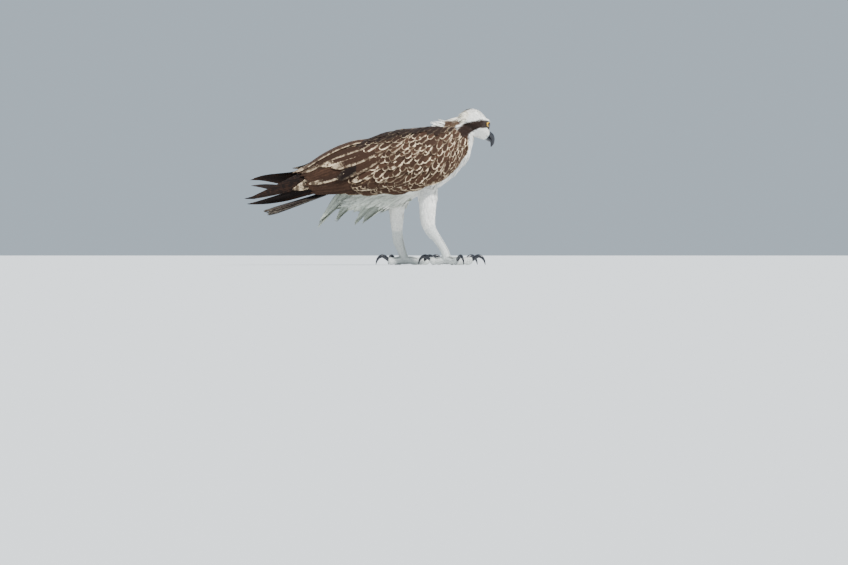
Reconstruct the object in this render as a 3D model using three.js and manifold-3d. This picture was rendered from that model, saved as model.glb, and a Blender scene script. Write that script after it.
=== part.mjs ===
// Osprey standing on both feet, head turned to its left and bowed, wings folded, life size.
// Millimetres, +X towards the bird's front, +Y to its left, +Z up. The floor is z = 0.
import * as THREE from "three";
import { mergeVertices } from "three/addons/utils/BufferGeometryUtils.js";
import Module from "manifold-3d";

const wasm = await Module();
wasm.setup();

// Driving sizes
const GAP = 0.3; // between nodes that touch
const LEFT = 1;
const RIGHT = -1;
const VANE_THICK = 1.0;
const VANE_TILT = 1.6; // how far a wing feather's lower edge stands out and its upper edge lies in
const ROOT_SINK = 6; // how deep a wing feather's root lies under its own level
const EYE_R = 8.4;
const HEAD_YAW = THREE.MathUtils.degToRad(40);
const HEAD_PITCH = THREE.MathUtils.degToRad(26);
const HEAD_CENTRE = new THREE.Vector3(162, 11, 311);
const FOOT_Y = 38;
const LEFT_WING_LIFT = 40; // the left wing's tips ride higher than the right wing's

// Stations of the trunk: x, height of its centre, half height, half width
const TRUNK = [
  [-156, 176, 13, 12],
  [-140, 184, 28, 23],
  [-115, 196, 48, 35],
  [-80, 204, 66, 47],
  [-40, 213, 75, 57],
  [0, 221, 79, 63],
  [40, 228, 77, 65],
  [80, 238, 71, 61],
  [110, 249, 61, 51],
  [132, 257, 47, 38],
  [146, 262, 29, 22],
];

// Stations of the folded wings' outer surface: x, height of its centre, half height, half width
const FOLD = [
  [-340, 143, 15, 11],
  [-300, 152, 23, 17],
  [-255, 165, 32, 24],
  [-212, 178, 41, 33],
  [-172, 191, 56, 44],
  [-132, 198, 70, 54],
  [-88, 203, 80, 64],
  [-44, 209, 87, 72],
  [0, 213, 91, 77],
  [40, 219, 89, 78],
  [80, 228, 84, 74],
  [105, 236, 76, 66],
  [128, 247, 60, 52],
  [142, 256, 42, 38],
];

// A cubic through the rows' values at x, with no overshoot between rows
function along(rows, x) {
  const last = rows.length - 1;
  const at = Math.min(Math.max(x, rows[0][0]), rows[last][0]);
  let i = 0;
  while (i < last - 1 && at > rows[i + 1][0]) i += 1;
  const slope = (j, k) => {
    if (j <= 0 || j >= last) return 0;
    const before = (rows[j][k] - rows[j - 1][k]) / (rows[j][0] - rows[j - 1][0]);
    const after = (rows[j + 1][k] - rows[j][k]) / (rows[j + 1][0] - rows[j][0]);
    return before * after <= 0 ? 0 : (2 * before * after) / (before + after);
  };
  const step = rows[i + 1][0] - rows[i][0];
  const t = (at - rows[i][0]) / step;
  return rows[i].slice(1).map((value, n) => {
    const k = n + 1;
    const h1 = t * t * (3 - 2 * t);
    const h2 = t * (1 - t) * (1 - t) * step;
    const h3 = t * t * (t - 1) * step;
    return value * (1 - h1) + rows[i + 1][k] * h1 + slope(i, k) * h2 + slope(i + 1, k) * h3;
  });
}

const mix = (a, b, t) => a + (b - a) * t;
// 0 at a and 1 at b, whichever is the larger, smooth between them
function ease(a, b, x) {
  const t = THREE.MathUtils.clamp((x - a) / (b - a), 0, 1);
  return t * t * (3 - 2 * t);
}

// Solids: a three.js geometry's vertices moved by a function, then made a manifold
function solidOf(geometry) {
  const bare = new THREE.BufferGeometry().setAttribute("position", geometry.getAttribute("position"));
  if (geometry.index) bare.setIndex(geometry.index);
  const merged = mergeVertices(bare, 1e-4);
  return new wasm.Manifold(
    new wasm.Mesh({
      numProp: 3,
      vertProperties: new Float32Array(merged.attributes.position.array),
      triVerts: new Uint32Array(merged.index.array),
    }),
  );
}

// The solid of a closed geometry whichever way its faces turn
function facingOut(geometry) {
  const made = solidOf(geometry);
  if (made.volume() > 0) return made;
  const faces = geometry.index.array;
  for (let i = 0; i < faces.length; i += 3) [faces[i + 1], faces[i + 2]] = [faces[i + 2], faces[i + 1]];
  return solidOf(geometry);
}

function moved(geometry, place) {
  const position = geometry.getAttribute("position");
  for (let i = 0; i < position.count; i += 1) {
    const p = place(position.getX(i), position.getY(i), position.getZ(i));
    position.setXYZ(i, p.x, p.y, p.z);
  }
  return geometry;
}

// A closed tube: place(t, angle, r) gives the point at t from 0 to 1 along it
function tube(sides, steps, place) {
  const unit = new THREE.CylinderGeometry(1, 1, 1, sides, steps);
  return facingOut(
    moved(unit, (x, y, z) => {
      const r = Math.hypot(x, z) > 0.5 ? 1 : 0;
      return place(0.5 + y, Math.atan2(z, x), r);
    }),
  );
}

// A thin closed sheet with the same triangles on both faces: place(u, v, face), u across from -1 to 1,
// v from 0 at the root to 1 at the tip, face 1 outside and -1 inside
function sheet(across, rows, place) {
  const plane = new THREE.PlaneGeometry(2, 1, across, rows);
  const flat = plane.getAttribute("position");
  const n = flat.count;
  const points = new Float32Array(n * 6);
  for (let i = 0; i < n; i += 1) {
    const u = flat.getX(i);
    const v = 0.5 - flat.getY(i);
    [1, -1].forEach((face, k) => {
      const p = place(u, v, face);
      points.set([p.x, p.y, p.z], (i + k * n) * 3);
    });
  }
  const faces = [...plane.index.array];
  for (let i = 0; i < plane.index.count; i += 3) {
    const [a, b, c] = plane.index.array.slice(i, i + 3);
    faces.push(a + n, c + n, b + n);
  }
  const wide = across + 1;
  const rim = [];
  for (let i = 0; i < across; i += 1) rim.push(i);
  for (let j = 0; j < rows; j += 1) rim.push(j * wide + across);
  for (let i = across; i > 0; i -= 1) rim.push(rows * wide + i);
  for (let j = rows; j > 0; j -= 1) rim.push(j * wide);
  rim.forEach((a, i) => {
    const b = rim[(i + 1) % rim.length];
    faces.push(a, b, b + n, a, b + n, a + n);
  });
  const geometry = new THREE.BufferGeometry();
  geometry.setAttribute("position", new THREE.BufferAttribute(points, 3));
  geometry.setIndex(faces);
  return facingOut(geometry);
}

const join = (pieces) => wasm.Manifold.union(pieces);

function largest(solid) {
  const bodies = solid.decompose();
  return bodies.reduce((a, b) => (b.volume() > a.volume() ? b : a));
}

// A tapered tube along a curve of [x, y, z, half width across, half height] points
function limb(points, sides, steps, power = 1) {
  const curve = new THREE.CatmullRomCurve3(points.map((p) => new THREE.Vector3(p[0], p[1], p[2])));
  const sizes = points.map((p, i) => [i / (points.length - 1), p[3], p[4]]);
  return tube(sides, steps, (t, angle, r) => {
    const s = t ** power;
    const at = curve.getPoint(s);
    const tangent = curve.getTangent(s);
    const across = new THREE.Vector3(0, 1, 0).addScaledVector(tangent, -tangent.y).normalize();
    const up = new THREE.Vector3().crossVectors(tangent, across);
    const [wide, high] = along(sizes, s);
    return at
      .addScaledVector(across, r * wide * Math.cos(angle))
      .addScaledVector(up, -r * high * Math.sin(angle));
  });
}

// Trunk, from the rump to the base of the neck
function trunk(grow) {
  const first = TRUNK[0][0] - grow;
  const last = TRUNK[TRUNK.length - 1][0] + grow;
  return tube(20, 14, (t, angle, r) => {
    const x = mix(last, first, t);
    const [z, high, wide] = along(TRUNK, x);
    return new THREE.Vector3(
      x,
      r * (wide + grow) * Math.cos(angle),
      z + r * (high + grow) * Math.sin(angle),
    );
  });
}

// Neck, bent up and to the left into the turned head
const NECK = [
  [84, 0, 246, 52, 60],
  [106, 1, 266, 45, 56],
  [126, 4, 287, 36, 44],
  [143, 8, 303, 29, 31],
  [158, 11, 312, 23, 22],
];
const neck = (grow) => limb(NECK.map((p) => [p[0], p[1], p[2], p[3] + grow, p[4] + grow]), 18, 8);

// The head's own axes: forward, to its left and up
const forward = new THREE.Vector3(
  Math.cos(HEAD_YAW) * Math.cos(HEAD_PITCH),
  Math.sin(HEAD_YAW) * Math.cos(HEAD_PITCH),
  -Math.sin(HEAD_PITCH),
);
const leftward = new THREE.Vector3(-Math.sin(HEAD_YAW), Math.cos(HEAD_YAW), 0);
const upward = new THREE.Vector3().crossVectors(forward, leftward);
const onHead = (f, l, u) =>
  HEAD_CENTRE.clone()
    .addScaledVector(forward, f)
    .addScaledVector(leftward, l)
    .addScaledVector(upward, u);

// Stations of the head: forward, height of its centre, half height, half width
const HEAD = [
  [-40, -3, 9, 9],
  [-34, -2, 18, 17],
  [-20, 1, 26, 24],
  [-4, 2, 28, 26],
  [12, 1, 26.5, 24],
  [24, -1, 22, 19.5],
  [34, -4, 17, 14.5],
  [42, -6.5, 12.5, 10.5],
  [45, -7, 11.5, 9.6],
];
const CERE_END = HEAD[HEAD.length - 1][0];

function skull() {
  return tube(18, 11, (t, angle, r) => {
    const f = mix(HEAD[HEAD.length - 1][0], HEAD[0][0], t);
    const [u, high, wide] = along(HEAD, f);
    return onHead(f, r * wide * Math.cos(angle), u + r * high * Math.sin(angle));
  });
}

const EYE_AT = [20.5, 13.8, 9];
const eyeCentre = (side) => onHead(EYE_AT[0], side * EYE_AT[1], EYE_AT[2]);

function ball(centre, radius, wide = 12, high = 8) {
  const unit = new THREE.SphereGeometry(radius, wide, high);
  return solidOf(unit).translate([centre.x, centre.y, centre.z]);
}

// The lids, a low ring round each eye, and the brow, a ridge over it
const LID = { radius: 7.6, thick: 1.6, out: 5.6, lean: 0.224, squeeze: 0.92 };
function lids(side) {
  const ring = new THREE.TorusGeometry(LID.radius, LID.thick, 4, 11);
  return facingOut(
    moved(ring, (x, y, z) => {
      const out = EYE_AT[1] + LID.out - LID.lean * x;
      return onHead(EYE_AT[0] + x, side * (out + z), EYE_AT[2] + y * LID.squeeze);
    }),
  );
}

function brow(side) {
  const ridge = [
    [35, 9.6, 7],
    [27.5, 14.2, 13.5],
    [17, 18, 16.8],
    [6, 20, 16],
  ].map(([f, l, u]) => onHead(f, side * l, u));
  const curve = new THREE.CatmullRomCurve3(ridge);
  const frames = curve.computeFrenetFrames(5, false);
  return tube(5, 5, (t, angle, r) => {
    const i = Math.round(t * 5);
    const fat = 1.2 + 2.6 * Math.sin(Math.PI * t);
    return curve
      .getPointAt(t)
      .addScaledVector(frames.normals[i], r * fat * Math.cos(angle))
      .addScaledVector(frames.binormals[i], -r * fat * Math.sin(angle));
  });
}

// Hollows in the head's side: centre and half sizes, forward, sideways and up, and slant
const NOSTRIL = { at: [41, 9.6, -2], half: [2.6, 2.6, 1.1], slant: 0.2 };
const GAPE = { at: [38, 10.5, -12.2], half: [9, 3.4, 0.7], slant: 0.06 };

function hollow(side, { at, half, slant }) {
  return facingOut(
    moved(new THREE.SphereGeometry(1, 6, 4), (x, y, z) =>
      onHead(at[0] + half[0] * x, side * (at[1] + half[1] * z), at[2] + half[2] * y + slant * half[0] * x),
    ),
  );
}

function headSolid() {
  const ridges = [LEFT, RIGHT].flatMap((side) => [lids(side), brow(side)]);
  let made = join([skull(), ...ridges]);
  [LEFT, RIGHT].forEach((side) => {
    made = made.subtract(ball(eyeCentre(side), EYE_R + GAP));
    made = made.subtract(hollow(side, NOSTRIL)).subtract(hollow(side, GAPE));
  });
  return made;
}

// The bill: forward, height, half width and half height along each mandible's middle
const UPPER_BILL = [
  [CERE_END + GAP, -2.5, 9.2, 7.2],
  [52, -2.6, 8.2, 7.4],
  [58, -5.2, 6.8, 7.0],
  [63, -10.2, 5.2, 5.6],
  [65.2, -16.5, 3.4, 3.8],
  [65.2, -23.5, 1.2, 1.4],
];
const LOWER_BILL = [
  [CERE_END + GAP, -13.6, 7.4, 3.0],
  [51, -13.4, 6.6, 3.0],
  [55.5, -13.4, 5.2, 2.6],
  [58.6, -13.2, 3.0, 1.4],
];

function mandible(rows, sides, steps) {
  const curve = new THREE.CatmullRomCurve3(rows.map((p) => new THREE.Vector3(p[0], 0, p[1])));
  const sizes = rows.map((p, i) => [i / (rows.length - 1), p[2], p[3]]);
  return tube(sides, steps, (t, angle, r) => {
    const at = curve.getPoint(t);
    const tangent = curve.getTangent(t);
    if (t === 0) tangent.set(1, 0, 0);
    const [wide, high] = along(sizes, t);
    const lift = -r * high * Math.sin(angle);
    return onHead(at.x - tangent.z * lift, r * wide * Math.cos(angle), at.z + tangent.x * lift);
  });
}

// A point on the folded wings: x, angle down from the back's middle line, distance outside
const reach = (side, x) => side === LEFT ? LEFT_WING_LIFT * ease(-190, -333, x) : 0;
function fold(side, x, angle, off) {
  const [z, high, wide] = along(FOLD, x);
  return new THREE.Vector3(
    x,
    side * (wide + off) * Math.sin(angle),
    z + (high + off) * Math.cos(angle) + reach(side, x),
  );
}
const DEG = THREE.MathUtils.degToRad(1);

// The wing's arm and hand under their small feathers: a thick shell over the trunk's side
const SHELL = [
  [-205, 44, 112, -9],
  [-170, 34, 122, -8],
  [-130, 30, 124, -7],
  [-90, 27, 123, -5.5],
  [-50, 25, 126, -3],
  [0, 24, 127, 0.5],
  [50, 25, 126, 4],
  [95, 28, 121, 4.5],
  [122, 36, 111, 2],
  [140, 58, 92, -3],
];

function wingShell(side) {
  return sheet(7, 10, (u, v, face) => {
    const x = mix(SHELL[SHELL.length - 1][0], SHELL[0][0], v);
    const [top, low, off] = along(SHELL, x);
    const angle = mix(top, low, (u + 1) / 2) * DEG;
    const rim = 6.5 * u ** 4;
    const deep = mix(20, 8, ease(-60, -190, x));
    return fold(side, x, angle, face > 0 ? off - rim : off - deep + rim * 0.3);
  });
}

// One feather laid on the folded wing, root and tip each [x, angle], wide its half width and off its
// distance outside the fold. Its lower edge stands over its lower neighbour
function wingVane(side, root, tip, wide, off) {
  return sheet(2, 4, (u, v, face) => {
    const narrow = v < 0.8 ? mix(0.6, 1, ease(0, 0.5, v)) : mix(1, 0.3, ((v - 0.8) / 0.2) ** 2);
    const round = v === 1 && u === 0 ? wide * 0.4 : 0;
    const x = mix(root[0], tip[0], v) - round;
    const [, high, half] = along(FOLD, x);
    const angle = mix(root[1], tip[1], v) * DEG + (2 * u * wide * narrow) / (high + half);
    const sunk = ROOT_SINK * (1 - ease(0, 0.3, v));
    const crown = u === 0 ? 0.5 : 0;
    return fold(side, x, angle, off + VANE_TILT * u * narrow - sunk + crown + (face * VANE_THICK) / 2);
  });
}

// Tiers of wing feathers, each from its upper to its lower end: primaries, secondaries and tertials,
// greater, median and lesser coverts. x and a give the roots and then the tips, upper and lower end
// each; run and bend, 1 where a tier states none, say how soon the tips reach the tier's full length
const TIERS = [
  {
    n: 7,
    x: [-120, -150, -236, -333],
    a: [46, 108, 40, 136],
    wide: [12, 10],
    off: -4.2,
    run: 1.25,
    bend: 0.7,
  },
  { n: 8, x: [-90, -84, -226, -192], a: [31, 116, 33, 122], wide: [13, 11], off: -0.6 },
  { n: 7, x: [-46, -40, -144, -116], a: [28, 119, 30, 120], wide: [13.5, 12.5], off: 3 },
  { n: 6, x: [6, 8, -66, -60], a: [28, 118, 29, 119], wide: [17, 15.5], off: 6.2 },
  { n: 6, x: [56, 58, -10, -6], a: [29, 116, 28, 118], wide: [17, 15.5], off: 9 },
];

function wingSolid(side) {
  const vanes = TIERS.flatMap(({ n, x, a, wide, off, run = 1, bend = 1 }, t) =>
    Array.from({ length: n }, (_, i) => {
      const k = i / (n - 1);
      const sway = Math.sin(i * 2.4 + t + side);
      const full = Math.min(1, run * k ** bend);
      const root = [mix(x[0], x[1], k), mix(a[0], a[1], k)];
      const tip = [mix(x[2], x[3], full) + 3 * sway, mix(a[2], a[3], k)];
      return wingVane(side, root, tip, mix(...wide, k), off);
    }),
  );
  return join([wingShell(side), ...vanes]);
}

// Tail: twelve feathers in a flat fan below the wing tips. stack and bow lower its outer feathers
const TAIL = {
  root: [-122, 176],
  tip: [-300, 121],
  halfRoot: 10,
  halfTip: 34,
  count: 12,
  wide: 10.5,
  stack: 5.5,
  bow: 0.004,
};

function tailVane(i) {
  const k = (2 * i) / (TAIL.count - 1) - 1;
  const long = 1 - 0.05 * k * k;
  return sheet(2, 4, (u, v, face) => {
    const t = v * long;
    const narrow = v < 0.88 ? mix(0.5, 1, ease(0, 0.5, v)) : mix(1, 0.4, ((v - 0.88) / 0.12) ** 2);
    const beyond = v === 1 && u === 0 ? 0.025 : 0;
    const x = mix(TAIL.root[0], TAIL.tip[0], t + beyond);
    const out = mix(TAIL.halfRoot, TAIL.halfTip, t) * k + u * TAIL.wide * narrow;
    // each outer feather lies under its inner neighbour, so the outer edge is the lower one
    const tilt = Math.abs(k) < 0.1 ? 0 : Math.sign(k) * u * narrow;
    const droop = TAIL.stack * Math.abs(k) + tilt + TAIL.bow * out * out;
    const z = mix(TAIL.root[1], TAIL.tip[1], t) - droop + (u === 0 ? 0.4 : 0);
    return new THREE.Vector3(x, out, z + (face * VANE_THICK) / 2);
  });
}

function tailSolid() {
  const block = limb(
    [
      [-112, 0, 178, 21, 14],
      [-140, 0, 168, 21, 9],
      [-168, 0, 158, 19, 5.5],
      [-186, 0, 151.5, 14, 3],
    ],
    16,
    6,
  );
  const vanes = Array.from({ length: TAIL.count }, (_, i) => tailVane(i));
  return join([block, ...vanes]);
}

// The loose down of the belly and vent, and the longer feathers that hang back from it
const DOWN = [
  [30, 0, 172, 34, 26],
  [-20, 0, 157, 38, 33],
  [-70, 0, 150, 34, 30],
  [-115, 0, 141, 26, 22],
  [-165, 0, 128, 13, 10],
];
const VENT = [
  { n: 3, x: 10, z: 144, back: 52, down: 26, spread: 22, wide: 9 },
  { n: 5, x: -28, z: 136, back: 56, down: 34, spread: 44, wide: 9 },
  { n: 5, x: -68, z: 132, back: 62, down: 36, spread: 38, wide: 9 },
  { n: 4, x: -112, z: 134, back: 74, down: 52, spread: 26, wide: 9.5 },
];

function ventForm() {
  const vanes = VENT.flatMap((row, r) =>
    Array.from({ length: row.n }, (_, i) => {
      const k = (2 * i) / (row.n - 1) - 1;
      const sway = Math.sin(i * 2.1 + r * 1.7);
      return sheet(2, 3, (u, v, face) => {
        const narrow = v < 0.4 ? 1 : mix(1, 0.12, (v - 0.4) / 0.6);
        const y = (row.spread / 2) * k * (1 + 0.3 * v) + u * row.wide * narrow;
        const x = row.x - row.back * v * (1 + 0.1 * sway);
        const drop = row.down * v ** 1.4 * (1 + 0.12 * sway);
        const z = row.z + 8 * k * k - drop - 1.5 * Math.abs(u);
        return new THREE.Vector3(x, y, z + face * mix(0.8, 0.3, v));
      });
    }),
  );
  return join([limb(DOWN, 12, 5), ...vanes]);
}

// Locks of the short crest at the nape
function crestForm() {
  const locks = [-2, -1, 0, 1, 2].map((k) =>
    sheet(2, 2, (u, v, face) => {
      const wide = mix(5, 0.7, v);
      const f = -20 - 31 * v + 1.5 * Math.abs(k);
      const [centre, high] = along(HEAD, Math.max(f, -33));
      const lift = mix(-4, 4.2, ease(0, 0.6, v)) - 9 * Math.max(0, v - 0.4);
      const drop = 1.4 * k * k;
      const sideways = k * 6.2 * (1 + 0.15 * v) + u * wide;
      return onHead(f, sideways, centre + high + lift - drop + face * mix(0.9, 0.35, v));
    }),
  );
  return join(locks);
}

// Legs: x, y, z, half width across and half depth, from inside the trunk down to the foot
const legs = {
  r: {
    side: RIGHT,
    pad: 101,
    thigh: [
      [60, 31, 200, 20, 26],
      [59, 33, 165, 20, 23],
      [59, 35, 140, 18, 20],
      [59, 36.5, 114, 15.5, 18],
      [60, 37, 92, 13, 15.8],
    ],
    shank: [
      [61, 37, 92, 10.6, 13.6],
      [65, 37.5, 78, 9.8, 13],
      [79, 38, 58, 7.8, 9.8],
      [91, 38, 40, 7, 8.8],
      [98, 38, 25, 7.6, 9.2],
      [101, 38, 12, 9, 10],
    ],
    hock: 94,
    toes: [-8, 30, -62, 158],
  },
  l: {
    side: LEFT,
    pad: 8,
    thigh: [
      [6, 31, 190, 20, 26],
      [-2, 33, 150, 19.5, 21],
      [-8, 35, 126, 17, 18],
      [-9, 36.5, 104, 14.5, 15.6],
      [-8.5, 37, 84, 12, 13.6],
    ],
    shank: [
      [-8.5, 37, 84, 9.8, 11.8],
      [-8, 37.5, 72, 9.2, 11.6],
      [-6, 38, 55, 8, 12],
      [-1, 38, 38, 7.2, 10],
      [4, 38, 24, 7.6, 9.4],
      [8, 38, 12, 9, 10],
    ],
    hock: 86,
    toes: [6, -28, 118, -160],
  },
};

const UP = new THREE.Vector3(0, 0, 1);

// A leg's rows on its own side, grown by so much
const legRows = (rows, side, grow) => rows.map(([x, y, z, w, h]) => [x, y * side, z, w + grow, h + grow]);
const thighForm = (leg, grow) => limb(legRows(leg.thigh, leg.side, grow), 14, 7);

// One toe, arched a little, with its pads on the floor; the claw starts at its cut end. The middle
// toe is the longest and the hind toe the shortest
const TOE_LONG = 50;
const TOE_SHARES = [1.14, 1, 1, 0.78];
function toe(leg, yaw, share) {
  const angle = yaw * DEG;
  const cos = Math.cos(angle);
  const sin = Math.sin(angle);
  const y = leg.side * FOOT_Y;
  const at = (d, z) => [leg.pad + cos * d * share, y + sin * d * share, z];
  const rows = [
    [...at(0, 10.5), 8, 9],
    [...at(14, 10.5), 7.2, 8.2],
    [...at(23, 8), 6.6, 8.4],
    [...at(32, 8.2), 5.6, 6.6],
    [...at(42, 8.4), 5.6, 8.8],
    [...at(TOE_LONG, 10.5), 4.2, 5.6],
  ];
  const curve = new THREE.CatmullRomCurve3(rows.map((p) => new THREE.Vector3(p[0], p[1], p[2])));
  const sizes = rows.map((p, i) => [i / (rows.length - 1), p[3], p[4]]);
  const side = new THREE.Vector3(-sin, cos, 0);
  const solid = tube(7, 7, (t, a, r) => {
    const [wide, high] = along(sizes, t);
    return curve
      .getPoint(t)
      .addScaledVector(side, -r * wide * Math.cos(a))
      .addScaledVector(UP, r * high * Math.sin(a));
  });
  return { solid, end: at(TOE_LONG, 10.5), cos, sin };
}

// Claw: distance ahead of the toe's end, height and half thickness
const CLAW = [
  [GAP, 11.5, 4.3],
  [6, 17, 4.4],
  [13, 19.8, 4],
  [20.5, 16.8, 3.3],
  [26, 8.8, 2.2],
  [28, -0.8, 0.9],
];

function claw(end, cos, sin) {
  const curve = new THREE.CatmullRomCurve3(CLAW.map((p) => new THREE.Vector3(p[0], 0, p[1])));
  const sizes = CLAW.map((p, i) => [i / (CLAW.length - 1), p[2]]);
  return tube(7, 7, (t, a, r) => {
    const p = curve.getPoint(t);
    const tangent = curve.getTangent(t);
    if (t === 0) tangent.set(1, 0, 0);
    const [fat] = along(sizes, t);
    const lift = r * fat * Math.sin(a);
    const across = r * fat * 0.85 * Math.cos(a);
    const d = p.x - tangent.z * lift;
    const x = end[0] + cos * d - sin * across;
    const y = end[1] + sin * d + cos * across;
    return new THREE.Vector3(x, y, p.z + tangent.x * lift);
  });
}

// Far larger than the part, for cuts by a plane
const FAR = 900;
const underFloor = solidOf(new THREE.BoxGeometry(FAR, FAR, FAR)).translate([0, 0, -FAR / 2]);

// The half space beyond a plane through point, facing along normal
function beyond(point, normal) {
  const turn = new THREE.Matrix4().lookAt(normal, new THREE.Vector3(), new THREE.Vector3(0, 1, 0));
  const box = new THREE.BoxGeometry(FAR, FAR, FAR).translate(0, 0, FAR / 2);
  box.applyMatrix4(turn.setPosition(point));
  return solidOf(box);
}

// Materials
const look = (color, roughness) => new THREE.MeshStandardMaterial({ color, roughness, metalness: 0 });
const brown = look(0x4a3a30, 0.85);
const dark = look(0x2b2422, 0.8);
const white = look(0xe9e5da, 0.85);
const scaly = look(0xb9bfbd, 0.7);
const black = look(0x14151c, 0.3);
const yellow = look(0xe2b42c, 0.15);

const bird = new THREE.Group();

function add(name, solid, material) {
  const kept = largest(solid);
  const mesh = kept.getMesh();
  const points = new Float32Array(mesh.numVert * 3);
  for (let i = 0; i < mesh.numVert; i += 1) {
    points.set(mesh.vertProperties.subarray(i * mesh.numProp, i * mesh.numProp + 3), i * 3);
  }
  const geometry = new THREE.BufferGeometry();
  geometry.setAttribute("position", new THREE.BufferAttribute(points, 3));
  geometry.setIndex(new THREE.BufferAttribute(new Uint32Array(mesh.triVerts), 1));
  const made = new THREE.Mesh(geometry, material);
  made.name = name;
  bird.add(made);
  return kept;
}

// Head, neck and trunk are one form, parted by planes
const headCut = onHead(-22, 0, -18);
const headNormal = new THREE.Vector3(0.86, 0.32, 0.4).normalize();
const neckCut = new THREE.Vector3(118, 0, 262);
const neckNormal = new THREE.Vector3(0.86, 0, 0.5).normalize();

// The two sides of a cut GAP wide
function parted(solid, point, normal) {
  const half = normal.clone().multiplyScalar(GAP / 2);
  const ahead = solid.intersect(beyond(point.clone().add(half), normal));
  const behind = solid.subtract(beyond(point.clone().sub(half), normal));
  return [ahead, behind];
}

const trunkForm = trunk(0);
const neckForm = neck(0);
const sockets = join([LEFT, RIGHT].map((side) => ball(eyeCentre(side), EYE_R + GAP)));
const thighsGrown = join(Object.values(legs).map((leg) => thighForm(leg, GAP)));
const vent = ventForm().subtract(thighsGrown);
const whole = join([trunkForm, neckForm, headSolid(), crestForm(), vent]).subtract(sockets);
const [front, torso] = parted(whole, neckCut, neckNormal);
const [head, throat] = parted(front, headCut, headNormal);
const clearOfTrunk = join([trunk(GAP), neck(GAP)]);

add("torso", torso, white);
add("neck", throat, white);
add("head", head, white);
add("eye_r", ball(eyeCentre(RIGHT), EYE_R), yellow);
add("eye_l", ball(eyeCentre(LEFT), EYE_R), yellow);
add("bill_upper", mandible(UPPER_BILL, 12, 10), black);
const upperGrown = UPPER_BILL.map((p) => [p[0], p[1], p[2] + GAP, p[3] + GAP]);
add("bill_lower", mandible(LOWER_BILL, 10, 5).subtract(mandible(upperGrown, 12, 10)), black);
add("tail", tailSolid().subtract(clearOfTrunk), dark);
[["wing_r", RIGHT], ["wing_l", LEFT]].forEach(([name, side]) => {
  const inner = beyond(new THREE.Vector3(0, (side * GAP) / 2, 0), new THREE.Vector3(0, -side, 0));
  add(name, wingSolid(side).subtract(join([clearOfTrunk, inner, thighsGrown])), brown);
});

// A leg's parts: the thigh meets the trunk, the shank the thigh, the foot the shank and the claws the toes
const ANKLE = new THREE.Vector3(0, 0, 20);
function addLeg(key, leg) {
  const thighAll = thighForm(leg, 0).subtract(clearOfTrunk);
  const shankAll = limb(legRows(leg.shank, leg.side, 0), 10, 8);
  const hock = new THREE.Vector3(0, 0, leg.hock);
  const [thigh] = parted(thighAll, hock, UP);
  const [shank, stump] = parted(parted(shankAll, hock, UP)[1], ANKLE, UP);
  add("thigh_" + key, thigh, white);
  add("shank_" + key, shank, scaly);
  const toes = leg.toes.map((yaw, i) => toe(leg, yaw, TOE_SHARES[i]));
  const ankle = ball(new THREE.Vector3(), 1, 10, 8).scale([13, 11.5, 10]);
  const pad = ankle.translate([leg.pad, leg.side * FOOT_Y, 8.5]);
  let foot = join([stump, pad, ...toes.map((t) => t.solid)]);
  toes.forEach((t) => {
    const end = new THREE.Vector3(...t.end);
    foot = foot.subtract(beyond(end, new THREE.Vector3(t.cos, t.sin, 0)).intersect(ball(end, 16, 8, 6)));
  });
  add("foot_" + key, foot.subtract(underFloor), scaly);
  toes.forEach((t, i) => add("claw_" + key + (i + 1), claw(t.end, t.cos, t.sin).subtract(underFloor), black));
}
Object.entries(legs).forEach(([key, leg]) => addLeg(key, leg));

// The origin is on the floor in the middle of the whole bird's length and width
const middle = new THREE.Box3().setFromObject(bird).getCenter(new THREE.Vector3());
bird.position.set(-middle.x, -middle.y, 0);

export default bird;
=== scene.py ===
import math

import bmesh
import bpy
import numpy as np
from bpy.props import FloatProperty, FloatVectorProperty, IntProperty, PointerProperty
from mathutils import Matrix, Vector


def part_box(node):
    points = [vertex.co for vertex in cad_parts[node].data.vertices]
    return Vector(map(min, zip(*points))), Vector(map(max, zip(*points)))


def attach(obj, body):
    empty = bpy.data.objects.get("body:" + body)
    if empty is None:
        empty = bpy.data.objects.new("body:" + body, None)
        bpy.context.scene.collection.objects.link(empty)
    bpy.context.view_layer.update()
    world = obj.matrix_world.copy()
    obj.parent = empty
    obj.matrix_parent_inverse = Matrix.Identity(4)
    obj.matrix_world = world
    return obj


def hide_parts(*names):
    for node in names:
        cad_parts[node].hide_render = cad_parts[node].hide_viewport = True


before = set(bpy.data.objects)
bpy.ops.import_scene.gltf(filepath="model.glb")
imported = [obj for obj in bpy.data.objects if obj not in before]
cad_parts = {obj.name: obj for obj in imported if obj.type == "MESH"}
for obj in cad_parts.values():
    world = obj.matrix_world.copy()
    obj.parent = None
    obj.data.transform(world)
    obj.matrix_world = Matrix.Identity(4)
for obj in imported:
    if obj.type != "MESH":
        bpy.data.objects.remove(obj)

bl_info = {
    "name": "Osprey",
    "version": (1, 0, 0),
    "blender": (4, 5, 0),
    "location": "3D Viewport > Sidebar > Osprey",
    "description": "A life-size osprey standing with its wings folded, dressed in modelled feathers",
    "category": "Add Mesh",
}

# Sizes in millimetres, in the axes of the solids: +X to the breast, +Y to the bird's left, +Z up.
# The solids' own frame is moved along X so that its origin is under the middle of the bird.
MM = 0.001
RIGHT, LEFT = -1, 1
EYE_R = 8.4
EYE_AT = (20.5, 13.8, 9)
HEAD_YAW, HEAD_PITCH = math.radians(40), math.radians(26)
HEAD_CENTRE = np.array([162.0, 11.0, 311.0])
FOOT_Y = 38
# The left wing's tip stands this much higher, rising between these two x
LEFT_WING_LIFT = 40
LEFT_WING_RISE = (-190, -333)
# How far the skin lies inside the solids, under the feathers
COAT = {"trunk": 3.5, "neck": 2.5, "head": 0.8, "thigh": 1.2, "down": 6.0, "rump": 1.0}

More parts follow.
